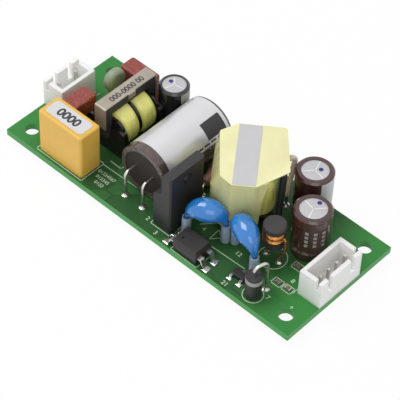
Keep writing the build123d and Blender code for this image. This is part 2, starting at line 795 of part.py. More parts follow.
with BuildPart() as transformer_pins:
    for row in (-rail_v, rail_v):
        for i in range(transformer_pins_a_side):
            along = (i - (transformer_pins_a_side - 1) / 2) * transformer_pin_pitch
            place = turned.from_local_coords((along, row, 0))
            drop_lead((place.X, place.Y), transformer_pin, 0)
keep(transformer_pins, "transformer_pins")

# Two wires leave the winding at the back: one in a clear tube and one in a black sleeve
def sleeved(points, outer, bore, name):
    """A tube along a bent path."""
    with BuildPart() as tube:
        with BuildLine() as path:
            FilletPolyline(*points, radius=fly_bend)
        with BuildSketch(Plane(origin=path.line @ 0, z_dir=path.line % 0)) as end:
            Circle(outer / 2)
            Circle(bore / 2, mode=Mode.SUBTRACT)
        sweep(end.sketch, path=path.line)
    keep(tube, name)


def wire_route(along, out, rise):
    """Points of a wire, measured from the winding's back face."""
    back = winding_depth / 2
    return [turned.from_local_coords((u, back + v, z)) for u, v, z in zip(along, out, rise)]


fly_points = wire_route(fly_along, fly_out, fly_rise)
lead_points = wire_route(lead_along, lead_out, lead_rise)
with BuildPart() as winding_wires:
    for route in (fly_points, lead_points):
        foot = route[-1]
        drilled.append((foot.X, foot.Y, fly_wire))
        bent_wire([*route, Vector(foot.X, foot.Y, lead_end)], fly_wire, fly_bend)
keep(winding_wires, "transformer_fly_wire")
sleeved(fly_points, fly_tube, fly_tube_bore, "transformer_fly_tube")
sleeved(lead_points, lead_sleeve, lead_sleeve_bore, "transformer_lead_sleeve")

# Output inductor: a drum core held up on its own winding wire
inductor_plane = spot(inductor_at, inductor_lift)
inductor_side = Plane(origin=inductor_plane.origin, x_dir=(1, 0, 0), z_dir=(0, -1, 0))
inductor_axis = Axis(inductor_plane.origin, (0, 0, 1))
flange_r = inductor_diameter / 2
neck_r = inductor_neck / 2
low_r = flange_r - inductor_low_inset
winding_r = flange_r - inductor_turn_inset
spool_high = inductor_height - inductor_top_flange
turn_pitch = (spool_high - inductor_low_flange - 2 * fit) / inductor_turns
with BuildPart() as inductor_core:
    with BuildSketch(inductor_side):
        with BuildLine():
            Polyline((0, 0), (low_r - inductor_edge, 0), (low_r, inductor_edge), (low_r, inductor_low_flange),
                     (neck_r, inductor_low_flange), (neck_r, spool_high), (flange_r, spool_high),
                     (flange_r, inductor_height - inductor_edge), (flange_r - inductor_edge, inductor_height),
                     (0, inductor_height), close=True)
        make_face()
    revolve(axis=inductor_axis)
keep(inductor_core, "output_inductor_core")

with BuildPart() as inductor_winding:
    valley_r = winding_r - inductor_turn_depth
    with BuildSketch(inductor_side):
        with BuildLine():
            points = [(neck_r + fit, inductor_low_flange + fit), (valley_r, inductor_low_flange + fit)]
            for i in range(inductor_turns):
                low_z = inductor_low_flange + fit + i * turn_pitch
                points.append((winding_r, low_z + turn_pitch / 2))
                points.append((valley_r, low_z + turn_pitch))
            points.append((neck_r + fit, spool_high - fit))
            Polyline(*points, close=True)
        make_face()
    revolve(axis=inductor_axis)
    spool_middle = board_top + inductor_lift + (inductor_low_flange + spool_high) / 2
    for side in (-1, 1):
        start = inductor_at[0] + side * (valley_r - inductor_wire / 2)
        outside = inductor_at[0] + side * (flange_r + inductor_wire / 2 + fit)
        foot = (inductor_at[0] + side * inductor_pitch / 2, inductor_at[1])
        drilled.append((*foot, inductor_wire))
        bent_wire([(start, foot[1], spool_middle), (outside, foot[1], spool_middle),
                   (outside, foot[1], board_top + inductor_lift - inductor_wire),
                   (*foot, board_top + inductor_lift / 3), (*foot, lead_end)], inductor_wire, inductor_bend)
keep(inductor_winding, "output_inductor_winding")


# Opto coupler
def gull_leads(at, lead_places, width, thickness, shoulder, exit_z, reach, foot, heading):
    """Formed flat leads that leave a body side, step down and end in a foot, in the open part."""
    bend = shoulder + reach * 0.3
    toe = shoulder + reach
    root = shoulder - thickness
    over = exit_z + thickness
    profile = ((root, exit_z), (bend, exit_z), (toe - foot, 0), (toe, 0), (toe, thickness),
               (toe - foot * 0.8, thickness), (bend + thickness, over), (root, over))
    for offset_y in lead_places:
        side = spot(at, turn=heading)
        origin = side.from_local_coords((0, offset_y, 0))
        with BuildSketch(Plane(origin=origin, x_dir=side.x_dir, z_dir=-side.y_dir)) as face:
            with BuildLine():
                Polyline(*profile, close=True)
            make_face()
        extrude(face.sketch, amount=width / 2, both=True)


opto_middle = opto_lift + opto_height / 2
with BuildPart() as opto_body:
    for way in (1, -1):
        with BuildSketch(Plane(origin=(*opto_at, board_top + opto_middle), z_dir=(0, 0, way))):
            Rectangle(opto_length, opto_width)
        extrude(amount=opto_height / 2, taper=opto_taper)
    for row in (0, 180):
        side = spot(opto_at, turn=row)
        for offset_y in (-opto_pitch / 2, opto_pitch / 2):
            place = side.from_local_coords((opto_length / 2, offset_y, opto_middle))
            with Locations(place):
                Box(2 * opto_lead_thickness + 2 * fit, opto_lead_width + fit, opto_lead_thickness + 2 * fit,
                    mode=Mode.SUBTRACT)
keep(opto_body, "opto_coupler_body")
with BuildPart() as opto_leads:
    for heading in (0, 180):
        exit_z = opto_middle - opto_lead_thickness / 2
        gull_leads(opto_at, (-opto_pitch / 2, opto_pitch / 2), opto_lead_width, opto_lead_thickness,
                   opto_length / 2, exit_z, opto_lead_reach, opto_foot, heading)
keep(opto_leads, "opto_coupler_leads")

# Clamp diode standing on end
with BuildPart(spot(diode_at)) as diode_body:
    Cylinder(diode_diameter / 2, diode_length, align=(Align.CENTER, Align.CENTER, Align.MIN))
    chamfer(diode_body.edges().filter_by(GeomType.CIRCLE), diode_diameter * 0.08)
keep(diode_body, "clamp_diode_body")
with BuildPart() as diode_leads:
    drop_lead(diode_at, diode_wire, 0)
    drilled.append((*diode_foot, diode_wire))
    high = board_top + diode_length + diode_arch
    bent_wire([(*diode_at, board_top + diode_length), (*diode_at, high), (*diode_foot, high),
               (*diode_foot, lead_end)], diode_wire, 1.1)
keep(diode_leads, "clamp_diode_leads")

# Shunt regulator
with BuildPart(spot(regulator_at, regulator_lead_thickness)) as regulator:
    Box(regulator_length, regulator_width, regulator_height,
        align=(Align.CENTER, Align.CENTER, Align.MIN))
    chamfer(regulator.faces().sort_by(Axis.Z)[-1].edges(), regulator_lead_thickness)
keep(regulator, "regulator_body")
with BuildPart() as regulator_leads:
    for places, heading in (((-regulator_lead_pitch / 2, regulator_lead_pitch / 2), -90), ((0,), 90)):
        gull_leads(regulator_at, places, regulator_lead_width, regulator_lead_thickness,
                   regulator_width / 2 + regulator_lead_thickness, regulator_height / 2,
                   regulator_lead_reach, regulator_lead_reach / 2, heading)
keep(regulator_leads, "regulator_leads")

# Snubber resistor: an axial body with end caps, lying along y
snubber_plane = spot(snubber_at, snubber_z, snubber_turn)
with BuildPart() as snubber:
    end_r = snubber_diameter / 2
    waist_r = end_r * 0.82
    half = snubber_length / 2
    cap = snubber_length * 0.22
    with BuildSketch(snubber_plane):
        with BuildLine():
            Polyline((-half, 0), (-half, end_r * 0.8), (-half + end_r * 0.2, end_r), (-half + cap, end_r),
                     (-half + cap * 1.4, waist_r), (half - cap * 1.4, waist_r), (half - cap, end_r),
                     (half - end_r * 0.2, end_r), (half, end_r * 0.8), (half, 0), close=True)
        make_face()
    revolve(axis=Axis(snubber_plane.origin, snubber_plane.x_dir))
keep(snubber, "snubber_resistor")


# Chip parts and the parts under the board
def chip(at, turn, face_z, up):
    """A chip part with raised end caps, on the top or the underside, in the open part."""
    length, width, height = chip_size
    align = (Align.CENTER, Align.CENTER, Align.MIN if up > 0 else Align.MAX)
    x_dir = (cos(radians(turn)), sin(radians(turn)), 0)
    with Locations(Plane(origin=(at[0], at[1], face_z), x_dir=x_dir, z_dir=(0, 0, 1)).location):
        Box(length * 0.7, width * 0.94, height * 0.94, align=align)
        with Locations((-length * 0.4, 0, 0), (length * 0.4, 0, 0)):
            Box(length * 0.2, width, height, align=align)


with BuildPart() as chips:
    for x, y, turn in top_chips:
        chip((x, y), turn, board_top, 1)
keep(chips, "top_chip_parts")
with BuildPart() as under_parts:
    for x, y, turn in under_chips:
        chip((x, y), turn, 0, -1)
keep(under_parts, "under_chip_parts")


def under_package(at, size, rows, name):
    """A low moulded package on the underside, with flat tabs out of its ends."""
    length, width, height = size
    tab_length, tab_width, tab_height = under_lead
    with BuildPart() as package:
        with BuildSketch(Plane(origin=(*at, -tab_height), z_dir=(0, 0, -1))):
            Rectangle(length, width)
        extrude(amount=height - tab_height, taper=opto_taper)
        for side in (-1, 1):
            for row in rows[side > 0]:
                with Locations((at[0] + side * length / 2, at[1] + row, 0)):
                    Box(2 * tab_length, tab_width, tab_height, align=(Align.CENTER, Align.CENTER, Align.MAX))
    keep(package, name)


bridge_row = (-bridge_size[1] / 4, bridge_size[1] / 4)
under_package(bridge_at, bridge_size, (bridge_row, bridge_row), "bridge_rectifier")
rectifier_row = (-rectifier_size[1] / 4, rectifier_size[1] / 4)
under_package(rectifier_at, rectifier_size, (rectifier_row, (0,)), "output_rectifier")

# Board, drilled for every lead noted above
hole_x = half_length - mount_inset
hole_y = half_width - mount_inset
with BuildPart() as board:
    Box(board_length, board_width, board_thickness, align=(Align.CENTER, Align.CENTER, Align.MIN))
    with BuildSketch():
        with GridLocations(2 * hole_x, 2 * hole_y, 2, 2):
            Circle(mount_hole / 2)
        for x, y, lead in drilled:
            with Locations((x, y)):
                Circle((lead + hole_clearance) / 2)
    extrude(amount=board_thickness, mode=Mode.SUBTRACT)
keep(board, "circuit_board")
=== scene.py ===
"""Looks of an open frame power supply: finishes, board print, solder and small marks on its CAD frame."""
import logging
import math
from dataclasses import dataclass
from enum import Enum
from typing import Callable, ClassVar, Iterable, Sequence

import bmesh
import bpy
from mathutils import Matrix, Vector


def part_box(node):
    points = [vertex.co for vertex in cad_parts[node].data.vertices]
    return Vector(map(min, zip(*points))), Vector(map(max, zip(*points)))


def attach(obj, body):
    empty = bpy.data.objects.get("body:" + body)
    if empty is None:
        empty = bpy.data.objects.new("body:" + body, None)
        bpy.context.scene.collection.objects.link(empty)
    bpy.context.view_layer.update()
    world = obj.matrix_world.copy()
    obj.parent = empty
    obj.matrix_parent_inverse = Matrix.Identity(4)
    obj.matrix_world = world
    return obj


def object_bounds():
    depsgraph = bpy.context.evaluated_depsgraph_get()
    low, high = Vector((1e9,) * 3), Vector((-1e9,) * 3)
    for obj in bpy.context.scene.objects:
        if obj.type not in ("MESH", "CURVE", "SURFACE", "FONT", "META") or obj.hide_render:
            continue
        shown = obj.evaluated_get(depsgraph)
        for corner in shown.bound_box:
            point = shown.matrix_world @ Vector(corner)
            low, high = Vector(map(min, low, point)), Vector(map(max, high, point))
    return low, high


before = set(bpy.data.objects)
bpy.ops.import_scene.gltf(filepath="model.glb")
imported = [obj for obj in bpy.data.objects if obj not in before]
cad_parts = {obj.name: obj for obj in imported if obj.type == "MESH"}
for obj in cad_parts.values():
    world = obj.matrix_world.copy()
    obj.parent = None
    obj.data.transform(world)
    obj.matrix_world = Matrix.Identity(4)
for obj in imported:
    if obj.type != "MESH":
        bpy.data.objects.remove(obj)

LOG = logging.getLogger("power_supply")
MM = 0.001
BODY = "root"
CAD_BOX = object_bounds()

# Roughness of a clear coat, and the least roughness of any finish
COAT_ROUGHNESS = 0.12
LEAST_ROUGHNESS = 0.02
# How deep light goes into a surface, in millimetres
DEPTH_MM = 1.0
# The z part of a normal above which a face counts as level
LEVEL_FROM = 0.6
# Share of the board's areas that hold no copper
NO_COPPER = 0.42
# Edges flatter than this are shaded smooth
SMOOTH_ANGLE = math.radians(40)
# Points of a CAD mesh that are closer than this are one point
WELD = 0.001 * MM
# Sides of a patch round a cylinder, a printed ring, a dot and a solder joint
PATCH_SIDES = 72
RING_SIDES = 40
DOT_SIDES = 24
JOINT_SIDES = 18

Colour = tuple[float, float, float]
Place = tuple[float, float] | Vector
Corners = tuple[Vector, Vector]
Piece = bpy.types.Object
Tree = bpy.types.NodeTree
Node = bpy.types.Node
Socket = bpy.types.NodeSocket


class Gloss(Enum):
    """How much clear gloss lies over a finish."""

    NONE = 0.0
    THIN = 0.2
    GLOSSY = 0.5
    WET = 0.7


def linear(colour: Colour) -> tuple[float, float, float, float]:
    """Turn a screen colour into the linear colour that a shader takes.

    Args:
        colour: Red, green and blue as seen on a screen, each from 0 to 1.

    Returns:
        Linear red, green, blue and a full alpha.
    """
    parts = [c / 12.92 if c <= 0.04045 else ((c + 0.055) / 1.055) ** 2.4 for c in colour]
    return (parts[0], parts[1], parts[2], 1.0)


def shade(colour: Colour, factor: float) -> Colour:
    """Make a colour lighter or darker.

    Args:
        colour: The screen colour to start from.
        factor: What each channel is multiplied by.

    Returns:
        The new colour, kept within range.
    """
    return tuple(min(1.0, c * factor) for c in colour)


# Shared shader groups


def add_node(tree: Tree, kind: str, **values: object) -> Node:
    """Add a shader node and set its properties.

    Args:
        tree: The node tree to add to.
        kind: The node's type name.
        values: Properties to set on the node.

    Returns:
        The new node.
    """
    node = tree.nodes.new(kind)
    for key, value in values.items():
        setattr(node, key, value)
    return node


def feed(tree: Tree, socket: Socket, value: object) -> None:
    """Feed an input from another socket, or set a plain value on it.

    Args:
        tree: The node tree that holds both.
        socket: The input.
        value: A socket or a plain value.
    """
    if isinstance(value, Socket):
        tree.links.new(value, socket)
    else:
        socket.default_value = value


def math_node(tree: Tree, operation: str, first: object, second: object = 0.0) -> Socket:
    """Add a maths node whose inputs are sockets or plain numbers.

    Args:
        tree: The node tree to add to.
        operation: The maths operation's name.
        first: The first input.
        second: The second input.

    Returns:
        The node's output socket.
    """
    node = add_node(tree, "ShaderNodeMath", operation=operation)
    feed(tree, node.inputs[0], first)
    feed(tree, node.inputs[1], second)
    return node.outputs[0]


def place_of(tree: Tree) -> Socket:
    """Return the object coordinates of the point that is shaded."""
    return add_node(tree, "ShaderNodeTexCoord").outputs["Object"]


def split(tree: Tree, vector: Socket) -> Node:
    """Add a node that splits a vector.

    Args:
        tree: The node tree to add to.
        vector: The vector's socket.

    Returns:
        The node, with outputs X, Y and Z.
    """
    node = add_node(tree, "ShaderNodeSeparateXYZ")
    tree.links.new(vector, node.inputs[0])
    return node


def start_group(name: str, inputs: dict[str, float], outputs: Sequence[str]) -> tuple[Tree, Node, Node]:
    """Open a shader group with float inputs and outputs.

    Args:
        name: The group's name.
        inputs: Input names with their usual values.
        outputs: Output names.

    Returns:
        The tree, its input node and its output node.
    """
    tree = bpy.data.node_groups.new(name, "ShaderNodeTree")
    for label, usual in inputs.items():
        socket = tree.interface.new_socket(label, in_out="INPUT", socket_type="NodeSocketFloat")
        socket.default_value = usual
    for label in outputs:
        tree.interface.new_socket(label, in_out="OUTPUT", socket_type="NodeSocketFloat")
    return tree, tree.nodes.new("NodeGroupInput"), tree.nodes.new("NodeGroupOutput")


def grain_group() -> Tree:
    """Build the group that gives a slow drift and a fine grain over a surface.

    Returns:
        The group, with outputs Drift and Fine.
    """
    usual = {"Drift Scale": 300.0, "Fine Scale": 3000.0}
    tree, inputs, outputs = start_group("surface_grain", usual, ("Drift", "Fine"))
    place = place_of(tree)
    for label in ("Drift", "Fine"):
        noise = add_node(tree, "ShaderNodeTexNoise")
        noise.inputs["Detail"].default_value = 4.0
        tree.links.new(place, noise.inputs["Vector"])
        tree.links.new(inputs.outputs[label + " Scale"], noise.inputs["Scale"])
        tree.links.new(noise.outputs["Fac"], outputs.inputs[label])
    return tree


def folds_group() -> Tree:
    """Build the group for the soft creases of stretched tape.

    Returns:
        The group, with output Fold.
    """
    tree, inputs, outputs = start_group("tape_folds", {"Scale": 160.0, "Stretch": 0.25}, ("Fold",))
    apart = split(tree, place_of(tree))
    joined = add_node(tree, "ShaderNodeCombineXYZ")
    tree.links.new(apart.outputs["X"], joined.inputs["X"])
    tree.links.new(apart.outputs["Y"], joined.inputs["Y"])
    tall = math_node(tree, "MULTIPLY", apart.outputs["Z"], inputs.outputs["Stretch"])
    tree.links.new(tall, joined.inputs["Z"])
    noise = add_node(tree, "ShaderNodeTexNoise")
    noise.inputs["Detail"].default_value = 1.2
    noise.inputs["Distortion"].default_value = 0.6
    tree.links.new(joined.outputs[0], noise.inputs["Vector"])
    tree.links.new(inputs.outputs["Scale"], noise.inputs["Scale"])
    tree.links.new(noise.outputs["Fac"], outputs.inputs["Fold"])
    return tree


def copper_group() -> Tree:
    """Build the group for copper areas and gaps that show through solder mask.

    Returns:
        The group, with outputs Copper and Gap.
    """
    usual = {"Scale": 110.0, "Gap Width": 0.06}
    tree, inputs, outputs = start_group("copper_under_mask", usual, ("Copper", "Gap"))
    place = place_of(tree)
    areas = {"voronoi_dimensions": "2D", "distance": "MANHATTAN"}
    near = add_node(tree, "ShaderNodeTexVoronoi", **areas)
    next_near = add_node(tree, "ShaderNodeTexVoronoi", **areas, feature="F2")
    for node in (near, next_near):
        tree.links.new(place, node.inputs["Vector"])
        tree.links.new(inputs.outputs["Scale"], node.inputs["Scale"])
    red = add_node(tree, "ShaderNodeSeparateColor")
    tree.links.new(near.outputs["Color"], red.inputs[0])
    tree.links.new(math_node(tree, "GREATER_THAN", red.outputs[0], NO_COPPER), outputs.inputs["Copper"])
    apart = math_node(tree, "SUBTRACT", next_near.outputs["Distance"], near.outputs["Distance"])
    tree.links.new(math_node(tree, "LESS_THAN", apart, inputs.outputs["Gap Width"]), outputs.inputs["Gap"])
    return tree


class Groups:
    """The shared shader groups, each built once.

    Attributes:
        made: The groups built so far, by short name.
        makers: What builds each group, by short name.
    """

    made: ClassVar[dict[str, Tree]] = {}
    makers: ClassVar[dict[str, Callable[[], Tree]]] = {
        "grain": grain_group,
        "folds": folds_group,
        "copper": copper_group,
    }

    @classmethod
    def place(cls, tree: Tree, name: str, **values: float) -> Node:
        """Place a group in a material.

        Args:
            tree: The material's node tree.
            name: The group's short name.
            values: Input values, with underscores for the spaces in their names.

        Returns:
            The group node.
        """
        if name not in cls.made:
            cls.made[name] = cls.makers[name]()
        node = add_node(tree, "ShaderNodeGroup", node_tree=cls.made[name])
        for key, value in values.items():
            node.inputs[key.replace("_", " ")].default_value = value
        return node


# Finishes


@dataclass(frozen=True)
class Finish:
    """A finish with a slow colour drift, a rubbed roughness and a fine grain.

    Attributes:
        name: The material's name.
        colour: Its screen colour.
        roughness: Its middle roughness.
        metallic: 1 for uncoated metal.
        drift: How far the colour drifts each way.
        rub: How far the roughness drifts each way.
        drift_mm: Size of the drifting patches.
        grain_mm: Size of the fine grain.
        bump: Strength of the fine grain as bump.
        relief_mm: Depth that the bump stands for.
        coat: The clear gloss over it.
        shine: How strongly its uncoated surface mirrors light.
        clear: Transmission weight.
        depth: Weight of light that goes into the surface and comes out near by.
        made: The materials built so far, by name.
    """

    name: str
    colour: Colour
    roughness: float = 0.45
    metallic: float = 0.0
    drift: float = 0.07
    rub: float = 0.08
    drift_mm: float = 3.0
    grain_mm: float = 0.25
    bump: float = 0.08
    relief_mm: float = 0.1
    coat: Gloss = Gloss.NONE
    shine: float = 0.5
    clear: float = 0.0
    depth: float = 0.0
    made: ClassVar[dict[str, bpy.types.Material]] = {}

    def material(self) -> bpy.types.Material:
        """Give this finish's material, made on first use.

        Returns:
            The material.
        """
        if self.name not in self.made:
            self.made[self.name] = self.build()
        return self.made[self.name]

    def build(self) -> bpy.types.Material:
        """Make the material.

        Returns:
            The new material.
        """
        made = bpy.data.materials.new(self.name)
        made.use_nodes = True
        tree = made.node_tree
        shader = tree.nodes["Principled BSDF"]
        settings = {
            "Metallic": self.metallic,
            "Specular IOR Level": self.shine,
            "Coat Weight": self.coat.value,
            "Coat Roughness": COAT_ROUGHNESS,
            "Transmission Weight": self.clear,
            "Subsurface Weight": self.depth,
            "Subsurface Scale": DEPTH_MM * MM,
            "Subsurface Radius": (1.0, 1.0, 1.0),
        }
        for label, value in settings.items():
            shader.inputs[label].default_value = value
        grain = Groups.place(
            tree, "grain", Drift_Scale=1.0 / (self.drift_mm * MM), Fine_Scale=1.0 / (self.grain_mm * MM)
        )
        tree.links.new(self.tint(tree, grain), shader.inputs["Base Color"])
        spread = add_node(tree, "ShaderNodeMapRange")
        spread.inputs["To Min"].default_value = max(LEAST_ROUGHNESS, self.roughness - self.rub)
        spread.inputs["To Max"].default_value = min(1.0, self.roughness + self.rub)
        tree.links.new(grain.outputs["Drift"], spread.inputs["Value"])
        tree.links.new(spread.outputs[0], shader.inputs["Roughness"])
        bump = add_node(tree, "ShaderNodeBump")
        bump.inputs["Strength"].default_value = self.bump
        bump.inputs["Distance"].default_value = self.relief_mm * MM
        tree.links.new(self.relief(tree, grain), bump.inputs["Height"])
        tree.links.new(bump.outputs[0], shader.inputs["Normal"])
        return made

    def tint(self, tree: Tree, grain: Node) -> Socket:
        """Colour the surface.

        Args:
            tree: The material's node tree.
            grain: The grain group's node.

        Returns:
            The colour socket.
        """
        darker = shade(self.colour, 1 - self.drift)
        lighter = shade(self.colour, 1 + self.drift)
        return self.blend(tree, grain.outputs["Drift"], darker, lighter)

    def relief(self, tree: Tree, grain: Node) -> Socket:
        """Return the height that bump follows."""
        return grain.outputs["Fine"]

    @staticmethod
    def level(tree: Tree) -> Socket:
        """Return a mask that is 1 on faces that look up or down and 0 on the sides."""
        facing = split(tree, add_node(tree, "ShaderNodeNewGeometry").outputs["True Normal"])
        return math_node(tree, "GREATER_THAN", math_node(tree, "ABSOLUTE", facing.outputs["Z"]), LEVEL_FROM)

    @staticmethod
    def blend(tree: Tree, mask: Socket, first: object, second: object) -> Socket:
        """Mix two colours by a mask.

        Args:
            tree: The material's node tree.
            mask: 0 for the first colour and 1 for the second.
            first: A screen colour or a colour socket.
            second: A screen colour or a colour socket.

        Returns:
            The mixed colour socket.
        """
        mix = add_node(tree, "ShaderNodeMix", data_type="RGBA")
        tree.links.new(mask, mix.inputs["Factor"])
        colours = [socket for socket in mix.inputs if socket.type == "RGBA"]
        for socket, value in zip(colours, (first, second)):
            feed(tree, socket, value if isinstance(value, Socket) else linear(value))
        return next(socket for socket in mix.outputs if socket.type == "RGBA")


@dataclass(frozen=True)
class BoardFinish(Finish):
    """Green solder mask over the board's copper, darker in the middle and lighter towards the ends: painted
    light that stands in for the shade the parts cast over the middle.

    Attributes:
        copper: Mask colour over copper.
        gap: Mask colour in the gaps between copper areas.
        lit_end: Mask colour at the ends, painted light where no parts shade the board.
        edge: Colour of the cut edge, paler than the mask and lightened further to the lit mask's green:
            partly painted light.
        lit_from_mm: How far from the middle the painted light at the ends starts.
        lit_to_mm: How far from the middle it ends.
        lit_share: How much of the painted end light shows at the ends.
    """

    copper: Colour = (0.20, 0.40, 0.20)
    gap: Colour = (0.163, 0.33, 0.164)
    lit_end: Colour = (0.22, 0.54, 0.245)
    edge: Colour = (0.30, 0.62, 0.32)
    lit_from_mm: float = 24.0
    lit_to_mm: float = 38.0
    lit_share: float = 0.9

    def tint(self, tree: Tree, grain: Node) -> Socket:
        """Colour the mask by what lies under it, paint light on it towards the board's ends, and colour the
        cut edge by itself.

        Args:
            tree: The material's node tree.
            grain: The grain group's node.

        Returns:
            The colour socket.
        """
        under = Groups.place(tree, "copper")
        base = super().tint(tree, grain)
        filled = self.blend(tree, under.outputs["Copper"], base, self.copper)
        parted = self.blend(tree, under.outputs["Gap"], filled, self.gap)
        spot = split(tree, place_of(tree))
        # Painted light: the mask turns lighter towards the ends, standing in for the shade the parts cast
        # over the middle.
        ends = add_node(tree, "ShaderNodeMapRange", interpolation_type="SMOOTHSTEP")
        ends.inputs["From Min"].default_value = self.lit_from_mm * MM
        ends.inputs["From Max"].default_value = self.lit_to_mm * MM
        ends.inputs["To Max"].default_value = self.lit_share
        tree.links.new(math_node(tree, "ABSOLUTE", spot.outputs["X"]), ends.inputs["Value"])
        end_lit = self.blend(tree, ends.outputs[0], parted, self.lit_end)
        # The cut edge is paler than the mask, and is partly painted light: it is lightened to the lit top's
        # green so that its side band blends in.
        return self.blend(tree, self.level(tree), self.edge, end_lit)


@dataclass(frozen=True)
class TapeFinish(Finish):
    """Polyester tape with soft creases, with painted shade in the creases and on the upright faces.

    Attributes:
        crease_shade: Painted shade colour in the creases of level faces.
        side: Colour of the upright faces, darker than the top as painted shade; on the transformer wrap it
            is partly also the dark core showing through the tape.
        crease_mm: Size of the creases.
        calm: How much of the creases' height is lost on level faces.
    """

    crease_shade: Colour = (0.80, 0.77, 0.55)
    side: Colour = (0.84, 0.82, 0.56)
    crease_mm: float = 5.0
    calm: float = 0.8

    def folds(self, tree: Tree) -> Socket:
        """Return the crease pattern's socket."""
        return Groups.place(tree, "folds", Scale=1.0 / (self.crease_mm * MM)).outputs["Fold"]

    def tint(self, tree: Tree, grain: Node) -> Socket:
        """Paint shade into the creases, and turn the upright faces to their own colour, which holds painted
        shade.

        Args:
            tree: The material's node tree.
            grain: The grain group's node; not used here.

        Returns:
            The colour socket.
        """
        # Painted shade: the creases are darker on every face, and the upright faces are darker than the lit
        # top.
        fold = self.folds(tree)
        top = self.blend(tree, fold, self.crease_shade, shade(self.colour, 1 + self.drift))
        side = self.blend(tree, fold, shade(self.side, 1 - 2 * self.drift), self.side)
        return self.blend(tree, self.level(tree), side, top)

    def relief(self, tree: Tree, grain: Node) -> Socket:
        """Return the creases as height, lower on level faces."""
        kept = math_node(tree, "SUBTRACT", 1.0, math_node(tree, "MULTIPLY", self.level(tree), self.calm))
        return math_node(tree, "MULTIPLY", self.folds(tree), kept)


@dataclass(frozen=True)
class SpeckledFinish(Finish):
    """A moulding with small flecks of another colour.

    Attributes:
        fleck: Colour of the flecks.
        fleck_share: How far up the grain a fleck starts; lower gives more flecks.
        fleck_edge: How much further up the grain it is fully there.
    """

    fleck: Colour = (0.8, 0.5, 0.4)
    fleck_share: float = 0.56
    fleck_edge: float = 0.08

    def tint(self, tree: Tree, grain: Node) -> Socket:
        """Scatter flecks over the drifting colour.

        Args:
            tree: The material's node tree.
            grain: The grain group's node.

        Returns:
            The colour socket.
        """
        mask = add_node(tree, "ShaderNodeMapRange")
        mask.inputs["From Min"].default_value = self.fleck_share
        mask.inputs["From Max"].default_value = self.fleck_share + self.fleck_edge
        tree.links.new(grain.outputs["Fine"], mask.inputs["Value"])
        return self.blend(tree, mask.outputs[0], super().tint(tree, grain), self.fleck)


@dataclass(frozen=True)
class WoundFinish(Finish):
    """Wire wound in level turns, with painted shade in the grooves between one turn and the next.

    Attributes:
        between: Painted shade colour in the grooves between the turns.
        turn_mm: Height of one turn.
    """

    between: Colour = (0.30, 0.17, 0.08)
    turn_mm: float = 0.42

    def turns(self, tree: Tree) -> Socket:
        """Make a wave that is 1 on a turn's crown and 0 between turns.

        Args:
            tree: The material's node tree.

        Returns:
            The wave's socket.
        """
        spot = split(tree, place_of(tree))
        turn = math_node(tree, "MULTIPLY", spot.outputs["Z"], math.pi / (self.turn_mm * MM))
        return math_node(tree, "ABSOLUTE", math_node(tree, "SINE", turn))

    def tint(self, tree: Tree, grain: Node) -> Socket:
        """Paint shade into the grooves between the turns.

        Args:
            tree: The material's node tree.
            grain: The grain group's node.

        Returns:
            The colour socket.
        """
        # Painted shade: the colour turns dark in the grooves between the turns.
        return self.blend(tree, self.turns(tree), self.between, super().tint(tree, grain))

    def relief(self, tree: Tree, grain: Node) -> Socket:
        """Return the turns as height."""
        return self.turns(tree)


# The board mask's lighter colour towards its ends is painted light, standing in for the shade the parts
# cast over the middle.
MASK = BoardFinish("green_solder_mask", (0.175, 0.35, 0.175), 0.42, drift=0.10, drift_mm=14.0, grain_mm=0.4,
                   bump=0.03, shine=0.25)
NYLON = Finish("natural_nylon", (0.98, 0.98, 0.97), 0.40, drift=0.015, bump=0.05, depth=0.5)
FUSE_PLASTIC = SpeckledFinish("brown_fuse_plastic", (0.56, 0.25, 0.21), 0.45, drift=0.14, drift_mm=1.2,
                              grain_mm=0.5, fleck=(0.66, 0.36, 0.31))
THERMISTOR_COAT = Finish("grey_green_dipped_resin", (0.57, 0.62, 0.52), 0.42, drift=0.08)
BOX_PLASTIC = Finish("yellow_case_plastic", (0.93, 0.74, 0.33), 0.40, drift=0.04, drift_mm=5.0, depth=0.1)
STICKER = Finish("pale_sticker", (0.86, 0.86, 0.87), 0.50, drift=0.03)
TINNED = Finish("bright_tinned_wire", (0.80, 0.79, 0.76), 0.28, 1.0, drift=0.08, drift_mm=1.0, bump=0.05)
SOLDER = Finish("solder", (0.78, 0.78, 0.77), 0.24, 1.0, drift=0.10, drift_mm=0.8, bump=0.15)
FERRITE = SpeckledFinish("dark_ferrite", (0.19, 0.18, 0.18), 0.50, drift=0.12, grain_mm=0.2, bump=0.2,
                         fleck=(0.30, 0.29, 0.29), fleck_share=0.62)
BLACK_PLASTIC = Finish("black_moulding", (0.085, 0.08, 0.08), 0.30, drift=0.15, coat=Gloss.THIN)
# Choke tape: the crease colour is painted shade in the creases, and the side colour is painted shade on the
# upright faces.
COIL_TAPE = TapeFinish("choke_coil_tape", (1.0, 1.0, 0.60), 0.28, drift=0.07, bump=1.0, relief_mm=0.7,
                       coat=Gloss.THIN, crease_shade=(0.94, 0.92, 0.44), side=(1.0, 0.99, 0.54), crease_mm=2.6)
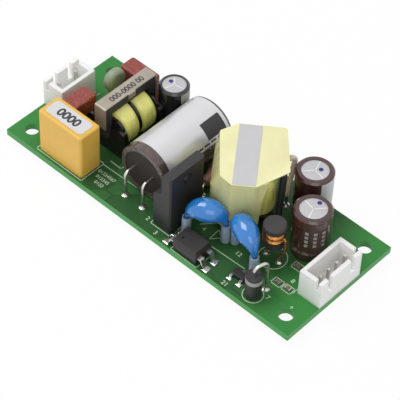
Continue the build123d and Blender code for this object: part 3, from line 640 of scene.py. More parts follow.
# Transformer wrap tape: the crease colour is painted shade in the creases; the darker, greener side colour
# is partly the dark core showing through the tape and partly painted shade.
WRAP_TAPE = TapeFinish("transformer_wrap_tape", (0.96, 0.94, 0.75), 0.26, drift=0.06, bump=1.0,
                       relief_mm=2.0, coat=Gloss.THIN, crease_shade=(0.91, 0.88, 0.65), side=(0.88, 0.87, 0.61),
                       crease_mm=6.0)
CLIP_STEEL = Finish("satin_clip_steel", (0.66, 0.63, 0.58), 0.42, 0.6, drift=0.10, bump=0.06, shine=0.3)
CAN_ALUMINIUM = Finish("drawn_aluminium", (0.74, 0.74, 0.75), 0.42, 0.75, drift=0.05, bump=0.05)
BLACK_SLEEVE = Finish("black_sleeve", (0.13, 0.12, 0.13), 0.20, drift=0.12, coat=Gloss.GLOSSY)
LEAD_SLEEVE = Finish("black_lead_sleeve", (0.10, 0.095, 0.10), 0.55, drift=0.10)
BROWN_SLEEVE = Finish("brown_sleeve", (0.28, 0.165, 0.16), 0.20, drift=0.10, coat=Gloss.GLOSSY)
# Capacitor sleeve: the crease colour is painted shade in its wrinkles.
SHRUNK_SLEEVE = TapeFinish("shrunk_brown_sleeve", (0.38, 0.32, 0.31), 0.26, drift=0.14, bump=1.0,
                           relief_mm=0.4, coat=Gloss.GLOSSY, crease_shade=(0.20, 0.16, 0.15),
                           side=(0.38, 0.32, 0.31), crease_mm=1.3)
SILVER_LABEL = Finish("silver_label", (0.86, 0.86, 0.87), 0.34, 0.4, drift=0.02, drift_mm=8.0, bump=0.02,
                      coat=Gloss.THIN)
GREY_LABEL = Finish("grey_label", (0.80, 0.80, 0.81), 0.38, drift=0.02, bump=0.03)
RUBBER = Finish("bung_rubber", (0.16, 0.12, 0.11), 0.65, drift=0.18, bump=0.2)
EPOXY = Finish("black_epoxy", (0.15, 0.145, 0.15), 0.48, drift=0.10, grain_mm=0.12, bump=0.12)
BROWN_EPOXY = Finish("dark_brown_epoxy", (0.16, 0.145, 0.14), 0.55, drift=0.12, grain_mm=0.2, bump=0.18)
BLUE_COAT = Finish("blue_dipped_coat", (0.145, 0.50, 0.81), 0.16, drift=0.08, drift_mm=2.5, bump=0.03,
                   coat=Gloss.WET, depth=0.1)
CLEAR_TUBE = Finish("translucent_tube", (0.80, 0.87, 0.94), 0.35, drift=0.03, clear=0.5)
PINK_TUBE = Finish("pinkish_tube", (1.0, 0.90, 0.80), 0.30, drift=0.04, depth=0.4)
# Enamelled copper; the dark colour between its turns is painted shade.
COPPER = WoundFinish("enamelled_copper", (0.80, 0.55, 0.30), 0.26, 0.9, drift=0.14, drift_mm=0.8, bump=0.6)
RESISTOR_COAT = Finish("brown_resistor_coat", (0.58, 0.42, 0.38), 0.40, drift=0.06)
CHIP_CERAMIC = Finish("brown_chip_ceramic", (0.50, 0.40, 0.35), 0.45, drift=0.12)
PRINT_WHITE = Finish("white_board_print", (0.78, 0.86, 0.76), 0.60, drift=0.05)
VIOLET_INK = Finish("violet_ink", (0.20, 0.17, 0.50), 0.45, drift=0.05)
# The vent's scored lines are painted bright: a painted highlight along the grooves.
VENT_GLINT = Finish("vent_score_glint", (0.96, 0.96, 0.97), 0.40, 0.2, drift=0.03)
GREY_INK = Finish("grey_band_ink", (0.62, 0.62, 0.60), 0.50, drift=0.05)
DARK_INK = Finish("dark_ink", (0.20, 0.19, 0.20), 0.50, drift=0.08)


# Modelling by operator


def clear_selection() -> None:
    """Go to object mode with nothing selected."""
    if bpy.context.object and bpy.context.object.mode != "OBJECT":
        bpy.ops.object.mode_set(mode="OBJECT")
    bpy.ops.object.select_all(action="DESELECT")


def select_only(piece: Piece) -> None:
    """Select one piece alone and make it the active one.

    Args:
        piece: The piece.
    """
    clear_selection()
    bpy.context.view_layer.objects.active = piece
    piece.select_set(True)


def begin_edit(piece: Piece) -> None:
    """Open one piece in edit mode with all of it selected.

    Args:
        piece: The piece.
    """
    select_only(piece)
    bpy.ops.object.mode_set(mode="EDIT")
    bpy.ops.mesh.select_all(action="SELECT")


def end_edit() -> None:
    """Turn the open mesh's faces outwards and go back to object mode."""
    bpy.ops.mesh.select_all(action="SELECT")
    bpy.ops.mesh.normals_make_consistent(inside=False)
    bpy.ops.object.mode_set(mode="OBJECT")


def settle(piece: Piece) -> Piece:
    """Put a piece's place, turn and scale into its mesh.

    Args:
        piece: The piece, wherever it stands.

    Returns:
        The same piece, at the origin.
    """
    select_only(piece)
    bpy.ops.object.transform_apply(location=True, rotation=True, scale=True)
    return piece


def thicken(piece: Piece, height: float) -> Piece:
    """Extrude a flat piece upwards.

    Args:
        piece: A flat mesh.
        height: How far up.

    Returns:
        The same piece, now closed.
    """
    begin_edit(piece)
    bpy.ops.mesh.extrude_region_move(TRANSFORM_OT_translate={"value": (0, 0, height)})
    end_edit()
    return piece


def pick_faces(piece: Piece, wanted: Callable[[Vector], bool]) -> None:
    """Open a piece in edit mode with only the faces selected whose middle meets a test.

    Args:
        piece: The piece to open.
        wanted: Takes a face's middle and says whether it is selected.
    """
    begin_edit(piece)
    bpy.ops.mesh.select_all(action="DESELECT")
    bpy.ops.mesh.select_mode(type="FACE")
    mesh = bmesh.from_edit_mesh(piece.data)
    for face in mesh.faces:
        face.select_set(wanted(face.calc_center_median()))
    bmesh.update_edit_mesh(piece.data)


def join(pieces: Sequence[Piece], name: str) -> Piece:
    """Join pieces into one and name it.

    Args:
        pieces: What to join.
        name: The joined piece's name.

    Returns:
        The joined piece.
    """
    clear_selection()
    for piece in pieces:
        piece.select_set(True)
    bpy.context.view_layer.objects.active = pieces[0]
    if len(pieces) > 1:
        bpy.ops.object.join()
    joined = bpy.context.view_layer.objects.active
    joined.name = name
    joined.data.name = name
    return joined


def finish_piece(
    pieces: Sequence[Piece], name: str, finish: Finish, smooth: bool = False
) -> None:
    """Join new meshes into one piece and give it its name, finish and body.

    Args:
        pieces: The new meshes.
        name: The piece's name.
        finish: What it is made of.
        smooth: Whether its round faces are shaded smooth.
    """
    piece = join(pieces, name)
    piece.data.materials.clear()
    piece.data.materials.append(finish.material())
    if smooth:
        select_only(piece)
        bpy.ops.object.shade_smooth_by_angle(angle=SMOOTH_ANGLE)
    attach(piece, BODY)
    LOG.info("made %s with %d faces", piece.name, len(piece.data.polygons))


def stroke(start: Place, end: Place, width: float, lift: float, height: float) -> Piece:
    """Model a straight raised stroke on a level face.

    Args:
        start: Where it starts, in metres.
        end: Where it ends.
        width: Its width.
        lift: Height of the face it lies on.
        height: How far it stands up.

    Returns:
        The stroke.
    """
    span = Vector(end) - Vector(start)
    middle = (Vector(end) + Vector(start)) / 2
    turn = math.atan2(span.y, span.x)
    clear_selection()
    bpy.ops.mesh.primitive_plane_add(size=1, location=(middle.x, middle.y, lift), rotation=(0, 0, turn))
    bar = bpy.context.object
    bar.scale = (span.length + width, width, 1)
    return thicken(settle(bar), height)


def flat_circle(centre: Place, radius: float, lift: float, sides: int) -> Piece:
    """Add a filled circle on a level face.

    Args:
        centre: Its middle, in metres.
        radius: Its radius.
        lift: Height of the face it lies on.
        sides: How many sides it has.

    Returns:
        The circle.
    """
    clear_selection()
    place = (*centre, lift)
    bpy.ops.mesh.primitive_circle_add(vertices=sides, radius=radius, fill_type="NGON", location=place)
    return settle(bpy.context.object)


def ring(centre: Place, radius: float, width: float, lift: float, height: float) -> Piece:
    """Model a raised ring on a level face.

    Args:
        centre: Its middle, in metres.
        radius: Its outer radius.
        width: Its width.
        lift: Height of the face it lies on.
        height: How far it stands up.

    Returns:
        The ring.
    """
    made = flat_circle(centre, radius, lift, RING_SIDES)
    begin_edit(made)
    bpy.ops.mesh.inset(thickness=width)
    bpy.ops.mesh.delete(type="FACE")
    bpy.ops.object.mode_set(mode="OBJECT")
    return thicken(made, height)


def disc(
    centre: Place, radius: float, lift: float, height: float, rim: float = 0.2, crown: float = 0.3
) -> Piece:
    """Model a low disc with a rounded rim on a level face.

    Args:
        centre: Its middle, in metres.
        radius: Its radius.
        lift: Height of the face it lies on.
        height: How far its rim stands up.
        rim: Width of the rim, as a share of the radius.
        crown: How far the middle stands over the rim, as a share of the height.

    Returns:
        The disc.
    """
    made = flat_circle(centre, radius, lift, DOT_SIDES)
    begin_edit(made)
    bpy.ops.mesh.extrude_region_move(TRANSFORM_OT_translate={"value": (0, 0, height)})
    bpy.ops.mesh.inset(thickness=radius * rim)
    bpy.ops.transform.translate(value=(0, 0, height * crown))
    end_edit()
    return made


def shell_patch(
    centre: Place, radius: float, low: float, high: float, facing: float, spread: float, thickness: float
) -> Piece:
    """Model a thin patch that hugs an upright cylinder.

    Args:
        centre: The cylinder's axis, in metres.
        radius: Inner radius of the patch.
        low: Height of its lower edge.
        high: Height of its upper edge.
        facing: The direction it faces, in degrees from +x.
        spread: The angle that it covers, in degrees.
        thickness: How far it stands out.

    Returns:
        The patch.
    """
    clear_selection()
    bpy.ops.mesh.primitive_cylinder_add(vertices=PATCH_SIDES, radius=radius, depth=high - low,
                                        end_fill_type="NOTHING", location=(*centre, (low + high) / 2))
    made = settle(bpy.context.object)
    if spread < 360:
        def outside(middle: Vector) -> bool:
            """Say whether a face lies outside the patch."""
            angle = math.degrees(math.atan2(middle.y - centre[1], middle.x - centre[0])) - facing
            return abs((angle + 180) % 360 - 180) > spread / 2

        pick_faces(made, outside)
        bpy.ops.mesh.delete(type="FACE")
        bpy.ops.object.mode_set(mode="OBJECT")
    wall = made.modifiers.new("wall", "SOLIDIFY")
    wall.thickness = thickness
    wall.offset = 1.0
    select_only(made)
    bpy.ops.object.modifier_apply(modifier=wall.name)
    return made


def lathe(rings: Sequence[Place], sides: int) -> Piece:
    """Turn a profile about z by extruding and scaling a circle.

    Args:
        rings: Radius and height of each ring, in order.
        sides: How many sides each ring has.

    Returns:
        The closed, turned piece, standing on the z axis.
    """
    radius, height = rings[0]
    place = (0, 0, height)
    clear_selection()
    bpy.ops.mesh.primitive_circle_add(vertices=sides, radius=radius, fill_type="NOTHING", location=place)
    made = settle(bpy.context.object)
    begin_edit(made)
    for (r0, z0), (r1, z1) in zip(rings, rings[1:]):
        bpy.ops.mesh.extrude_edges_move(TRANSFORM_OT_translate={"value": (0, 0, z1 - z0)})
        bpy.ops.transform.resize(value=(r1 / r0, r1 / r0, 1))
    bpy.ops.mesh.select_all(action="SELECT")
    bpy.ops.mesh.fill_holes(sides=0)
    end_edit()
    return made


def copy_at(pattern: Piece, place: Vector) -> Piece:
    """Copy a piece with its own mesh to a place.

    Args:
        pattern: The piece to copy, standing on the origin.
        place: Where the copy goes.

    Returns:
        The copy.
    """
    made = pattern.copy()
    made.data = pattern.data.copy()
    made.data.transform(Matrix.Translation(place))
    bpy.context.scene.collection.objects.link(made)
    return made


def mark_at(text: str, tall: float, place: Vector, height: float, weight: float = 0.012) -> Piece:
    """Model plain raised figures or signs on a level face.

    Args:
        text: Plain figures or a sign.
        tall: Their size, in millimetres.
        place: Their lower left corner.
        height: How far they stand up.
        weight: How far their outline is thickened, as a share of their size.

    Returns:
        The figures as one mesh.
    """
    clear_selection()
    bpy.ops.object.text_add(location=place)
    mark = bpy.context.object
    mark.data.body = text
    mark.data.size = tall * MM
    mark.data.extrude = height / 2
    mark.data.offset = weight * tall * MM
    mark.location.z += height / 2
    bpy.ops.object.convert(target="MESH")
    return settle(bpy.context.object)


def box_round(points: Iterable[Vector]) -> Corners:
    """Find the box round some points.

    Args:
        points: The points.

    Returns:
        The box's low and high corner.
    """
    axes = list(zip(*points))
    return Vector([min(axis) for axis in axes]), Vector([max(axis) for axis in axes])


def turn_about_middle(piece: Piece, angle: float, place: Vector) -> None:
    """Turn a flat piece about its own middle and put that middle over a place.

    Args:
        piece: The piece, lying on the level z = 0.
        angle: The turn about z, in radians.
        place: Where its middle goes.
    """
    low, high = box_round(v.co for v in piece.data.vertices)
    middle = ((low + high) / 2).xy.to_3d()
    turn = Matrix.Translation(place) @ Matrix.Rotation(angle, 4, "Z")
    piece.data.transform(turn @ Matrix.Translation(-middle))


def middle_of(node: str) -> Vector:
    """Return the middle of a node's box."""
    low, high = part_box(node)
    return (low + high) / 2


def bodies_of(node: str) -> list[Corners]:
    """Find the boxes of the separate bodies in a node.

    Args:
        node: A CAD node that may hold several bodies.

    Returns:
        The low and high corner of each body's box.
    """
    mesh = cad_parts[node].data
    keys = [tuple(round(c / WELD) for c in v.co) for v in mesh.vertices]
    owner = {key: key for key in keys}

    def root(key: tuple) -> tuple:
        """Follow a point to the one that stands for its body.

        Args:
            key: The point's key.

        Returns:
            The key that stands for the body.
        """
        while owner[key] != key:
            owner[key] = owner[owner[key]]
            key = owner[key]
        return key

    for face in mesh.polygons:
        first = root(keys[face.vertices[0]])
        for index in face.vertices[1:]:
            owner[root(keys[index])] = first
    bodies: dict[tuple, list[Vector]] = {}
    for key, vertex in zip(keys, mesh.vertices):
        bodies.setdefault(root(key), []).append(vertex.co)
    return [box_round(body) for body in bodies.values()]


def clusters(points: Iterable[Vector], reach: float) -> list[list[Vector]]:
    """Sort points into groups that lie close together in plan.

    Args:
        points: Points to sort.
        reach: How far apart points of one group may be.

    Returns:
        The groups.
    """
    groups: list[list[Vector]] = []
    for point in points:
        for group in groups:
            if (group[0].xy - point.xy).length < reach:
                group.append(point)
                break
        else:
            groups.append([point])
    return groups


# Sub-assemblies


class SubAssembly:
    """A group of CAD nodes: the finishes they wear and the pieces that are added to them.

    Attributes:
        worn: The finish of each CAD node in the group.
    """

    worn: ClassVar[dict[str, Finish]] = {}

    def wears(self) -> dict[str, Finish]:
        """Return the finish of each CAD node in the group."""
        return self.worn

    def dress(self) -> None:
        """Give each CAD node of the group its finish."""
        for name, finish in self.wears().items():
            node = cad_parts[name]
            material = finish.material()
            for holder in node.material_slots:
                holder.material = material
            if not node.material_slots:
                node.data.materials.append(material)
            LOG.info("dressed %s in %s", name, material.name)

    def build(self) -> None:
        """Model the pieces that the group adds; a group may add none."""


@dataclass(frozen=True)
class Figures:
    """Plain figures printed on top of a node, in millimetres.

    Attributes:
        text: The figures.
        tall: Their height.
        weight: How far they are thickened, as a share of their height.
        turn: Their turn about z, in degrees.
        ink: How far the ink stands up.
    """

    text: str
    tall: float
    weight: float
    turn: float = 0.0
    ink: float = 0.015

    def print_on(self, node: str, name: str) -> None:
        """Model the figures on the middle of a node's top.

        Args:
            node: The CAD node.
            name: The new piece's name.
        """
        made = mark_at(self.text, self.tall, Vector((0, 0, 0)), self.ink * MM, self.weight)
        place = middle_of(node)
        place.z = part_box(node)[1].z
        turn_about_middle(made, math.radians(self.turn), place)
        finish_piece([made], name, DARK_INK)


@dataclass
class Board(SubAssembly):
    """The board and the white print on its top face, in millimetres.

    Attributes:
        line: Width of a printed line.
        height: How far the print stands up.
        mark: Height of a printed mark.
        row_mark: Height of the figures in the printed rows.
        margin: How far a printed box stands off the part inside it.
        inductor_ring: Radius of the ring printed round the inductor.
        diode_ring: Radius of the ring printed round the diode.
        runs: Printed lines, each a run of points.
        marks: Printed marks with their lower left corners.
        rows: The printed rows of figures with their lower left corners.
    """

    line: float = 0.16
    height: float = 0.02
    mark: float = 1.5
    row_mark: float = 1.2
    margin: float = 0.4
    inductor_ring: float = 3.15
    diode_ring: float = 2.25
    runs: tuple[tuple[Place, ...], ...] = (
        ((-18.0, -8.8), (-3.3, -8.45), (-0.3, -8.4)),
        ((-17.6, -7.0), (-14.7, -7.1), (-14.3, -6.1)),
        ((13.8, -9.5), (22.4, -9.2)),
        ((11.75, -5.2), (11.95, -8.4), (13.6, -6.4), (11.75, -5.2)),
        ((7.9, -6.7), (11.2, -3.1)),
        ((-33.6, -5.6), (-33.6, 5.6)),
        ((33.6, -7.2), (33.6, 6.6)),
    )
    marks: tuple[tuple[str, Place], ...] = (
        ("2", (-1.2, -13.6)), ("3", (2.6, -15.3)), ("4", (9.0, -7.6)), ("12", (18.2, -7.6)),
        ("21", (21.4, -15.3)), ("7", (30.4, -12.0)), ("8", (31.2, -5.3)), ("+", (35.4, -10.6)),
        ("-", (35.4, 7.0)),
    )
    rows: tuple[tuple[str, Place], ...] = (
        ("01234567", (-17.6, -11.0)), ("012345", (-16.9, -12.4)), ("0123", (-16.0, -13.8)),
    )

    worn = {"circuit_board": MASK}

    def part_boxes(self) -> list[Corners]:
        """Return the boxes, in metres, of the parts that have a printed outline."""
        outlined = ("filter_capacitor_box", "opto_coupler_body", "power_switch_body")
        return bodies_of("top_chip_parts") + [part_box(node) for node in outlined]

    def box_run(self, low: Vector, high: Vector) -> tuple[Place, ...]:
        """Return the closed outline printed round a part.

        Args:
            low: The part's low corner, in metres.
            high: The part's high corner, in metres.

        Returns:
            The outline's corners, in millimetres.
        """
        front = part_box("circuit_board")[0].y / MM + self.line
        left, right = low.x / MM - self.margin, high.x / MM + self.margin
        near, far = max(low.y / MM - self.margin, front), high.y / MM + self.margin
        return ((left, near), (right, near), (right, far), (left, far), (left, near))

    def build(self) -> None:
        """Model the print as thin raised ink."""
        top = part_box("circuit_board")[1].z
        width = self.line * MM
        height = self.height * MM
        made = []
        for run in self.runs + tuple(self.box_run(*box) for box in self.part_boxes()):
            for start, end in zip(run, run[1:]):
                made.append(stroke(Vector(start) * MM, Vector(end) * MM, width, top, height))
        rings = {"output_inductor_core": self.inductor_ring, "clamp_diode_body": self.diode_ring}
        for node, radius in rings.items():
            made.append(ring(middle_of(node).xy, radius * MM, width, top, height))
        for tall, printed in ((self.mark, self.marks), (self.row_mark, self.rows)):
            for text, (x, y) in printed:
                made.append(mark_at(text, tall, Vector((x * MM, y * MM, top)), height))
        finish_piece(made, "board_print", PRINT_WHITE)


class Headers(SubAssembly):
    """The two shrouded pin headers."""

    worn = {
        "input_header_housing": NYLON,
        "output_header_housing": NYLON,
        "input_header_pins": TINNED,
        "output_header_pins": TINNED,
    }


@dataclass
class MainsFilter(SubAssembly):
    """The filter capacitor, the fuses and the thermistor.

    Attributes:
        figures: Plain figures on the sticker.
    """

    figures: Figures = Figures("0000", 3.0, 0.035)

    worn = {
        "filter_capacitor_box": BOX_PLASTIC,
        "filter_capacitor_sticker": STICKER,
        "line_fuse": FUSE_PLASTIC,
        "neutral_fuse": FUSE_PLASTIC,
        "inrush_thermistor": THERMISTOR_COAT,
        "tinned_wire_leads": TINNED,
    }

    def build(self) -> None:
        """Model plain figures on the sticker."""
        self.figures.print_on("filter_capacitor_sticker", "filter_capacitor_figures")


@dataclass
class Choke(SubAssembly):
    """The common mode choke.

    Attributes:
        figures: Plain figures along the clip's back.
    """

    figures: Figures = Figures("000-0000 00", 1.9, 0.025, turn=90.0)

    worn = {
        "choke_core": FERRITE,
        "choke_bobbin": BLACK_PLASTIC,
        "choke_windings": COIL_TAPE,
        "choke_clip": CLIP_STEEL,
        "choke_pins": TINNED,
    }

    def build(self) -> None:
        """Model the figures along the clip's back."""
        self.figures.print_on("choke_clip", "choke_clip_figures")


@dataclass
class BulkCapacitor(SubAssembly):
    """The lying bulk capacitor and the bars and panel on its label, in millimetres and degrees.

    Attributes:
        bars: How many bars there are.
        bar_length: Length of a bar along the can.
        bar_width: Its width.
        bar_angle: How far the row lies over the level, on the output side.
        panel_length: Length of the panel along the can.
        panel_inset: How far the panel stops short of the label's end.
        panel_angle: How far the panel's middle lies over the level, on the output side.
        panel_spread: The angle that the panel covers.
        ink: How far bars and panel stand up.
    """

    bars: int = 9
    bar_length: float = 1.1
    bar_width: float = 0.4
    bar_angle: float = 25.0
    panel_length: float = 5.4
    panel_inset: float = 0.8
    panel_angle: float = 47.0
    panel_spread: float = 35.0
    ink: float = 0.02

    worn = {
        "bulk_capacitor_can": CAN_ALUMINIUM,
        "bulk_capacitor_sleeve": SHRUNK_SLEEVE,
        "bulk_capacitor_label": SILVER_LABEL,
        "bulk_capacitor_bung": RUBBER,
        "bulk_capacitor_leads": TINNED,
    }

    def build(self) -> None:
        """Model the bars and the panel on the label's round side."""
        low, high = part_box("bulk_capacitor_label")
        axis = middle_of("bulk_capacitor_sleeve")
        radius = high.z - axis.z
        pitch = (high.y - low.y) / self.bars
        half = self.bar_length / 2 * MM
        bar = stroke((0, -half), (0, half), self.bar_width * MM, 0, self.ink * MM)
        bar.data.transform(Matrix.Rotation(math.radians(90 - self.bar_angle), 4, "Y"))
        out = Vector((math.cos(math.radians(self.bar_angle)), 0, math.sin(math.radians(self.bar_angle))))
        made = []
        for step in range(self.bars):
            place = Vector((axis.x, low.y + (step + 0.5) * pitch, axis.z)) + out * radius
            made.append(copy_at(bar, place))
        bpy.data.objects.remove(bar)
        finish_piece(made, "bulk_capacitor_bars", DARK_INK)
        panel = shell_patch((0, 0), radius, 0, self.panel_length * MM, self.panel_angle, self.panel_spread,
                            self.ink * MM)
        end = Matrix.Translation((axis.x, high.y - self.panel_inset * MM, axis.z))
        panel.data.transform(end @ Matrix.Rotation(math.radians(90), 4, "X"))
        finish_piece([panel], "bulk_capacitor_panel", DARK_INK, smooth=True)


@dataclass
class StandingCapacitor(SubAssembly):
    """A standing electrolytic capacitor and the marks on it, in millimetres and degrees.

    Attributes:
        node: The first part of its nodes' names.
        sleeve: The sleeve's finish.
        first_arm: Direction of the vent's first arm from +x.
        dot: The ink dot's place from the middle.
        stripe: Direction that the sleeve's stripe faces from +x.
        stripe_ink: The stripe's finish.
        stripe_spread: Angle that the stripe covers.
        arms: How many arms the vent has.
        arm_reach: Length of a vent arm, as a share of the can's radius.
        arm_width: Width of a vent arm.
        dot_radius: Radius of the ink dot.
        dash_columns: Directions from +x that the columns of plain dashes on the sleeve face.
        dash_rows: How many dashes a column has.
        dash_foot: How far the columns stay above the sleeve's foot.
        dash_height: Height of a dash.
        dash_gap: Gap between a dash and the next.
        dash_spread: Angle that a dash covers.
        ink: How far the marks stand up.
        shoulder: How far the marks stay below the sleeve's top.
        waist: How far the stripe stays above the sleeve's foot.
    """

    node: str
    sleeve: Finish
    first_arm: float
    dot: Place
    stripe: float
    stripe_ink: Finish
    stripe_spread: float = 46.0
    arms: int = 3
    arm_reach: float = 0.68
    arm_width: float = 0.16
    dot_radius: float = 0.5
    dash_columns: tuple[float, ...] = ()
    dash_rows: int = 4
    dash_foot: float = 4.6
    dash_height: float = 0.75
    dash_gap: float = 0.45
    dash_spread: float = 10.0
    ink: float = 0.02
    shoulder: float = 0.45
    waist: float = 3.2
    worn = {
        "supply_capacitor_bung": RUBBER,
        "output_capacitor_bungs": RUBBER,
        "output_capacitor_leads": TINNED,
    }

    def wears(self) -> dict[str, Finish]:
        """Return the finishes of its own pieces and of those that the capacitors share."""
        return {self.node + "_can": CAN_ALUMINIUM, self.node + "_sleeve": self.sleeve} | self.worn

    def build(self) -> None:
        """Model the vent, the dot, the stripe and the dashes."""
        low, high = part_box(self.node + "_can")
        centre = (low + high) / 2
        radius = (high.x - low.x) / 2
        arms = []
        for turn in range(self.arms):
            angle = math.radians(self.first_arm + 360 / self.arms * turn)
            reach = Vector((math.cos(angle), math.sin(angle))) * radius * self.arm_reach
            arms.append(stroke(centre.xy, centre.xy + reach, self.arm_width * MM, high.z, self.ink * MM))
        # The vent arms are painted bright white as a painted highlight along the scored grooves.
        finish_piece(arms, self.node + "_vent", VENT_GLINT)
        spot = disc(centre.xy + Vector(self.dot) * MM, self.dot_radius * MM, high.z, self.ink * MM)
        finish_piece([spot], self.node + "_dot", VIOLET_INK)
        low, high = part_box(self.node + "_sleeve")
        outer = (high.x - low.x) / 2
        foot = low.z + self.waist * MM
        patch = shell_patch(centre.xy, outer, foot, high.z - self.shoulder * MM, self.stripe,
                            self.stripe_spread, self.ink * MM)
        finish_piece([patch], self.node + "_stripe", self.stripe_ink, smooth=True)
        dashes = []
        for column in self.dash_columns:
            for row in range(self.dash_rows):
                foot = low.z + (self.dash_foot + row * (self.dash_height + self.dash_gap)) * MM
                dashes.append(shell_patch(centre.xy, outer, foot, foot + self.dash_height * MM, column,
                                          self.dash_spread, self.ink * MM))
        if dashes:
            finish_piece(dashes, self.node + "_dashes", GREY_INK, smooth=True)


class PowerSwitch(SubAssembly):
    """The power switch."""

    worn = {"power_switch_body": EPOXY, "power_switch_leads": TINNED}


class SafetyCapacitors(SubAssembly):
    """The two blue safety capacitors on their sleeved legs."""

    worn = {
        "safety_capacitor_a": BLUE_COAT,
        "safety_capacitor_b": BLUE_COAT,
        "safety_capacitor_leads": TINNED,
        "safety_capacitor_tubes": CLEAR_TUBE,
    }


class Transformer(SubAssembly):
    """The taped transformer and its two sleeved wires."""

    worn = {
        "transformer_core": FERRITE,
        "transformer_bobbin": BLACK_PLASTIC,
        "transformer_winding": COIL_TAPE,
        "transformer_tape": WRAP_TAPE,
        "transformer_label": GREY_LABEL,
        "transformer_pins": TINNED,
        "transformer_fly_wire": TINNED,
        "transformer_fly_tube": PINK_TUBE,
        "transformer_lead_sleeve": LEAD_SLEEVE,
    }


class OutputInductor(SubAssembly):
    """The drum inductor."""

    worn = {"output_inductor_core": FERRITE, "output_inductor_winding": COPPER}


@dataclass
class OptoCoupler(SubAssembly):
    """The opto coupler and the dot by its first lead, in millimetres.

    Attributes:
        dot_inset: The dot's place from the body's corner.
        dot_radius: Its radius.
        dot_height: How far its rim stands up.
    """

    dot_inset: float = 1.5
    dot_radius: float = 0.35
    dot_height: float = 0.015

    worn = {"opto_coupler_body": BROWN_EPOXY, "opto_coupler_leads": TINNED}

    def build(self) -> None:
        """Model the dot."""
        low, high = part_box("opto_coupler_body")
        inset = self.dot_inset * MM
        dot = disc((low.x + inset, low.y + inset), self.dot_radius * MM, high.z, self.dot_height * MM)
        finish_piece([dot], "opto_coupler_dot", BLACK_PLASTIC)


@dataclass
class ClampDiode(SubAssembly):
    """The standing clamp diode and the band near its top, in millimetres.

    Attributes:
        band_drop: How far the band lies below the top.
        band_height: Its height.
        band_ink: How far it stands out.
    """

    band_drop: float = 0.7
    band_height: float = 1.1
    band_ink: float = 0.02

    worn = {"clamp_diode_body": EPOXY, "clamp_diode_leads": TINNED}

    def build(self) -> None:
        """Model the band."""
        low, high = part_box("clamp_diode_body")
        centre = (low + high) / 2
        top = high.z - self.band_drop * MM
        foot = top - self.band_height * MM
        band = shell_patch(centre.xy, (high.x - low.x) / 2, foot, top, 0, 360, self.band_ink * MM)
        finish_piece([band], "clamp_diode_band", GREY_INK, smooth=True)


@dataclass
class SmallParts(SubAssembly):
    """The regulator, the snubber, the chip parts and the parts under the board.

    Attributes:
        cap_share: Length of a chip's tinned end, as a share of the chip's length.
        cap_growth: How far a tinned end stands out, in millimetres.
        cap_bevel: Width of its bevelled edges, in millimetres.
    """

    cap_share: float = 0.24
    cap_growth: float = 0.02
    cap_bevel: float = 0.05

    worn = {
        "regulator_body": EPOXY,
        "regulator_leads": TINNED,
        "snubber_resistor": RESISTOR_COAT,
        "top_chip_parts": CHIP_CERAMIC,
        "under_chip_parts": CHIP_CERAMIC,
        "bridge_rectifier": EPOXY,
        "output_rectifier": EPOXY,
    }

    def build(self) -> None:
        """Cap both ends of each chip part with tinned metal."""
        for node in ("top_chip_parts", "under_chip_parts"):
            caps = []
            for low, high in bodies_of(node):
                caps += self.ends(low, high)
            finish_piece(caps, node + "_ends", SOLDER)

    def ends(self, low: Vector, high: Vector) -> list[Piece]:
        """Model the tinned ends of one chip part.

        Args:
            low: The low corner of its box.
            high: The high corner of its box.

        Returns:
            The two ends.
        """
        size = high - low
        along = 0 if size.x > size.y else 1
        made = []
        for end, way in ((low, 0.5), (high, -0.5)):
            middle = (low + high) / 2
            middle[along] = end[along] + way * self.cap_share * size[along]
            span = size.copy()
            span[along] *= self.cap_share
            clear_selection()
            bpy.ops.mesh.primitive_cube_add(size=1, location=middle)
            cap = bpy.context.object
            cap.scale = span + Vector((1, 1, 1)) * self.cap_growth * MM
            settle(cap)
            begin_edit(cap)
            bpy.ops.mesh.bevel(offset=self.cap_bevel * MM, segments=1)
            end_edit()
            made.append(cap)
        return made


@dataclass(frozen=True)
class SolderCurve:
    """The section of the solder round a lead, in millimetres.

    Attributes:
        width: How far its pad stands out beyond the lead.
        rise: How far it climbs the lead; below zero it climbs down.
        rim: Height of its rim.
        gap: How far its end stands off the lead.
        bends: Points on its curve, as shares of the width and of the rise.
        rim_share: Radius of the rim, as a share of the pad's.
    """

    width: float
    rise: float
    rim: float
    gap: float
    bends: tuple[Place, ...]
    rim_share: float = 0.97

    def turned(self, radius: float) -> Piece:
        """Model the solder round a lead on the z axis.

        Args:
            radius: The lead's radius.

        Returns:
            The solder, starting on the level z = 0.
        """
        pad = radius + self.width * MM
        rings = [(pad, 0.0), (pad * self.rim_share, self.rim * MM)]
        rings += [(radius + out * (pad - radius), along * self.rise * MM) for out, along in self.bends]
        return lathe(rings + [(radius + self.gap * MM, self.rise * MM)], JOINT_SIDES)


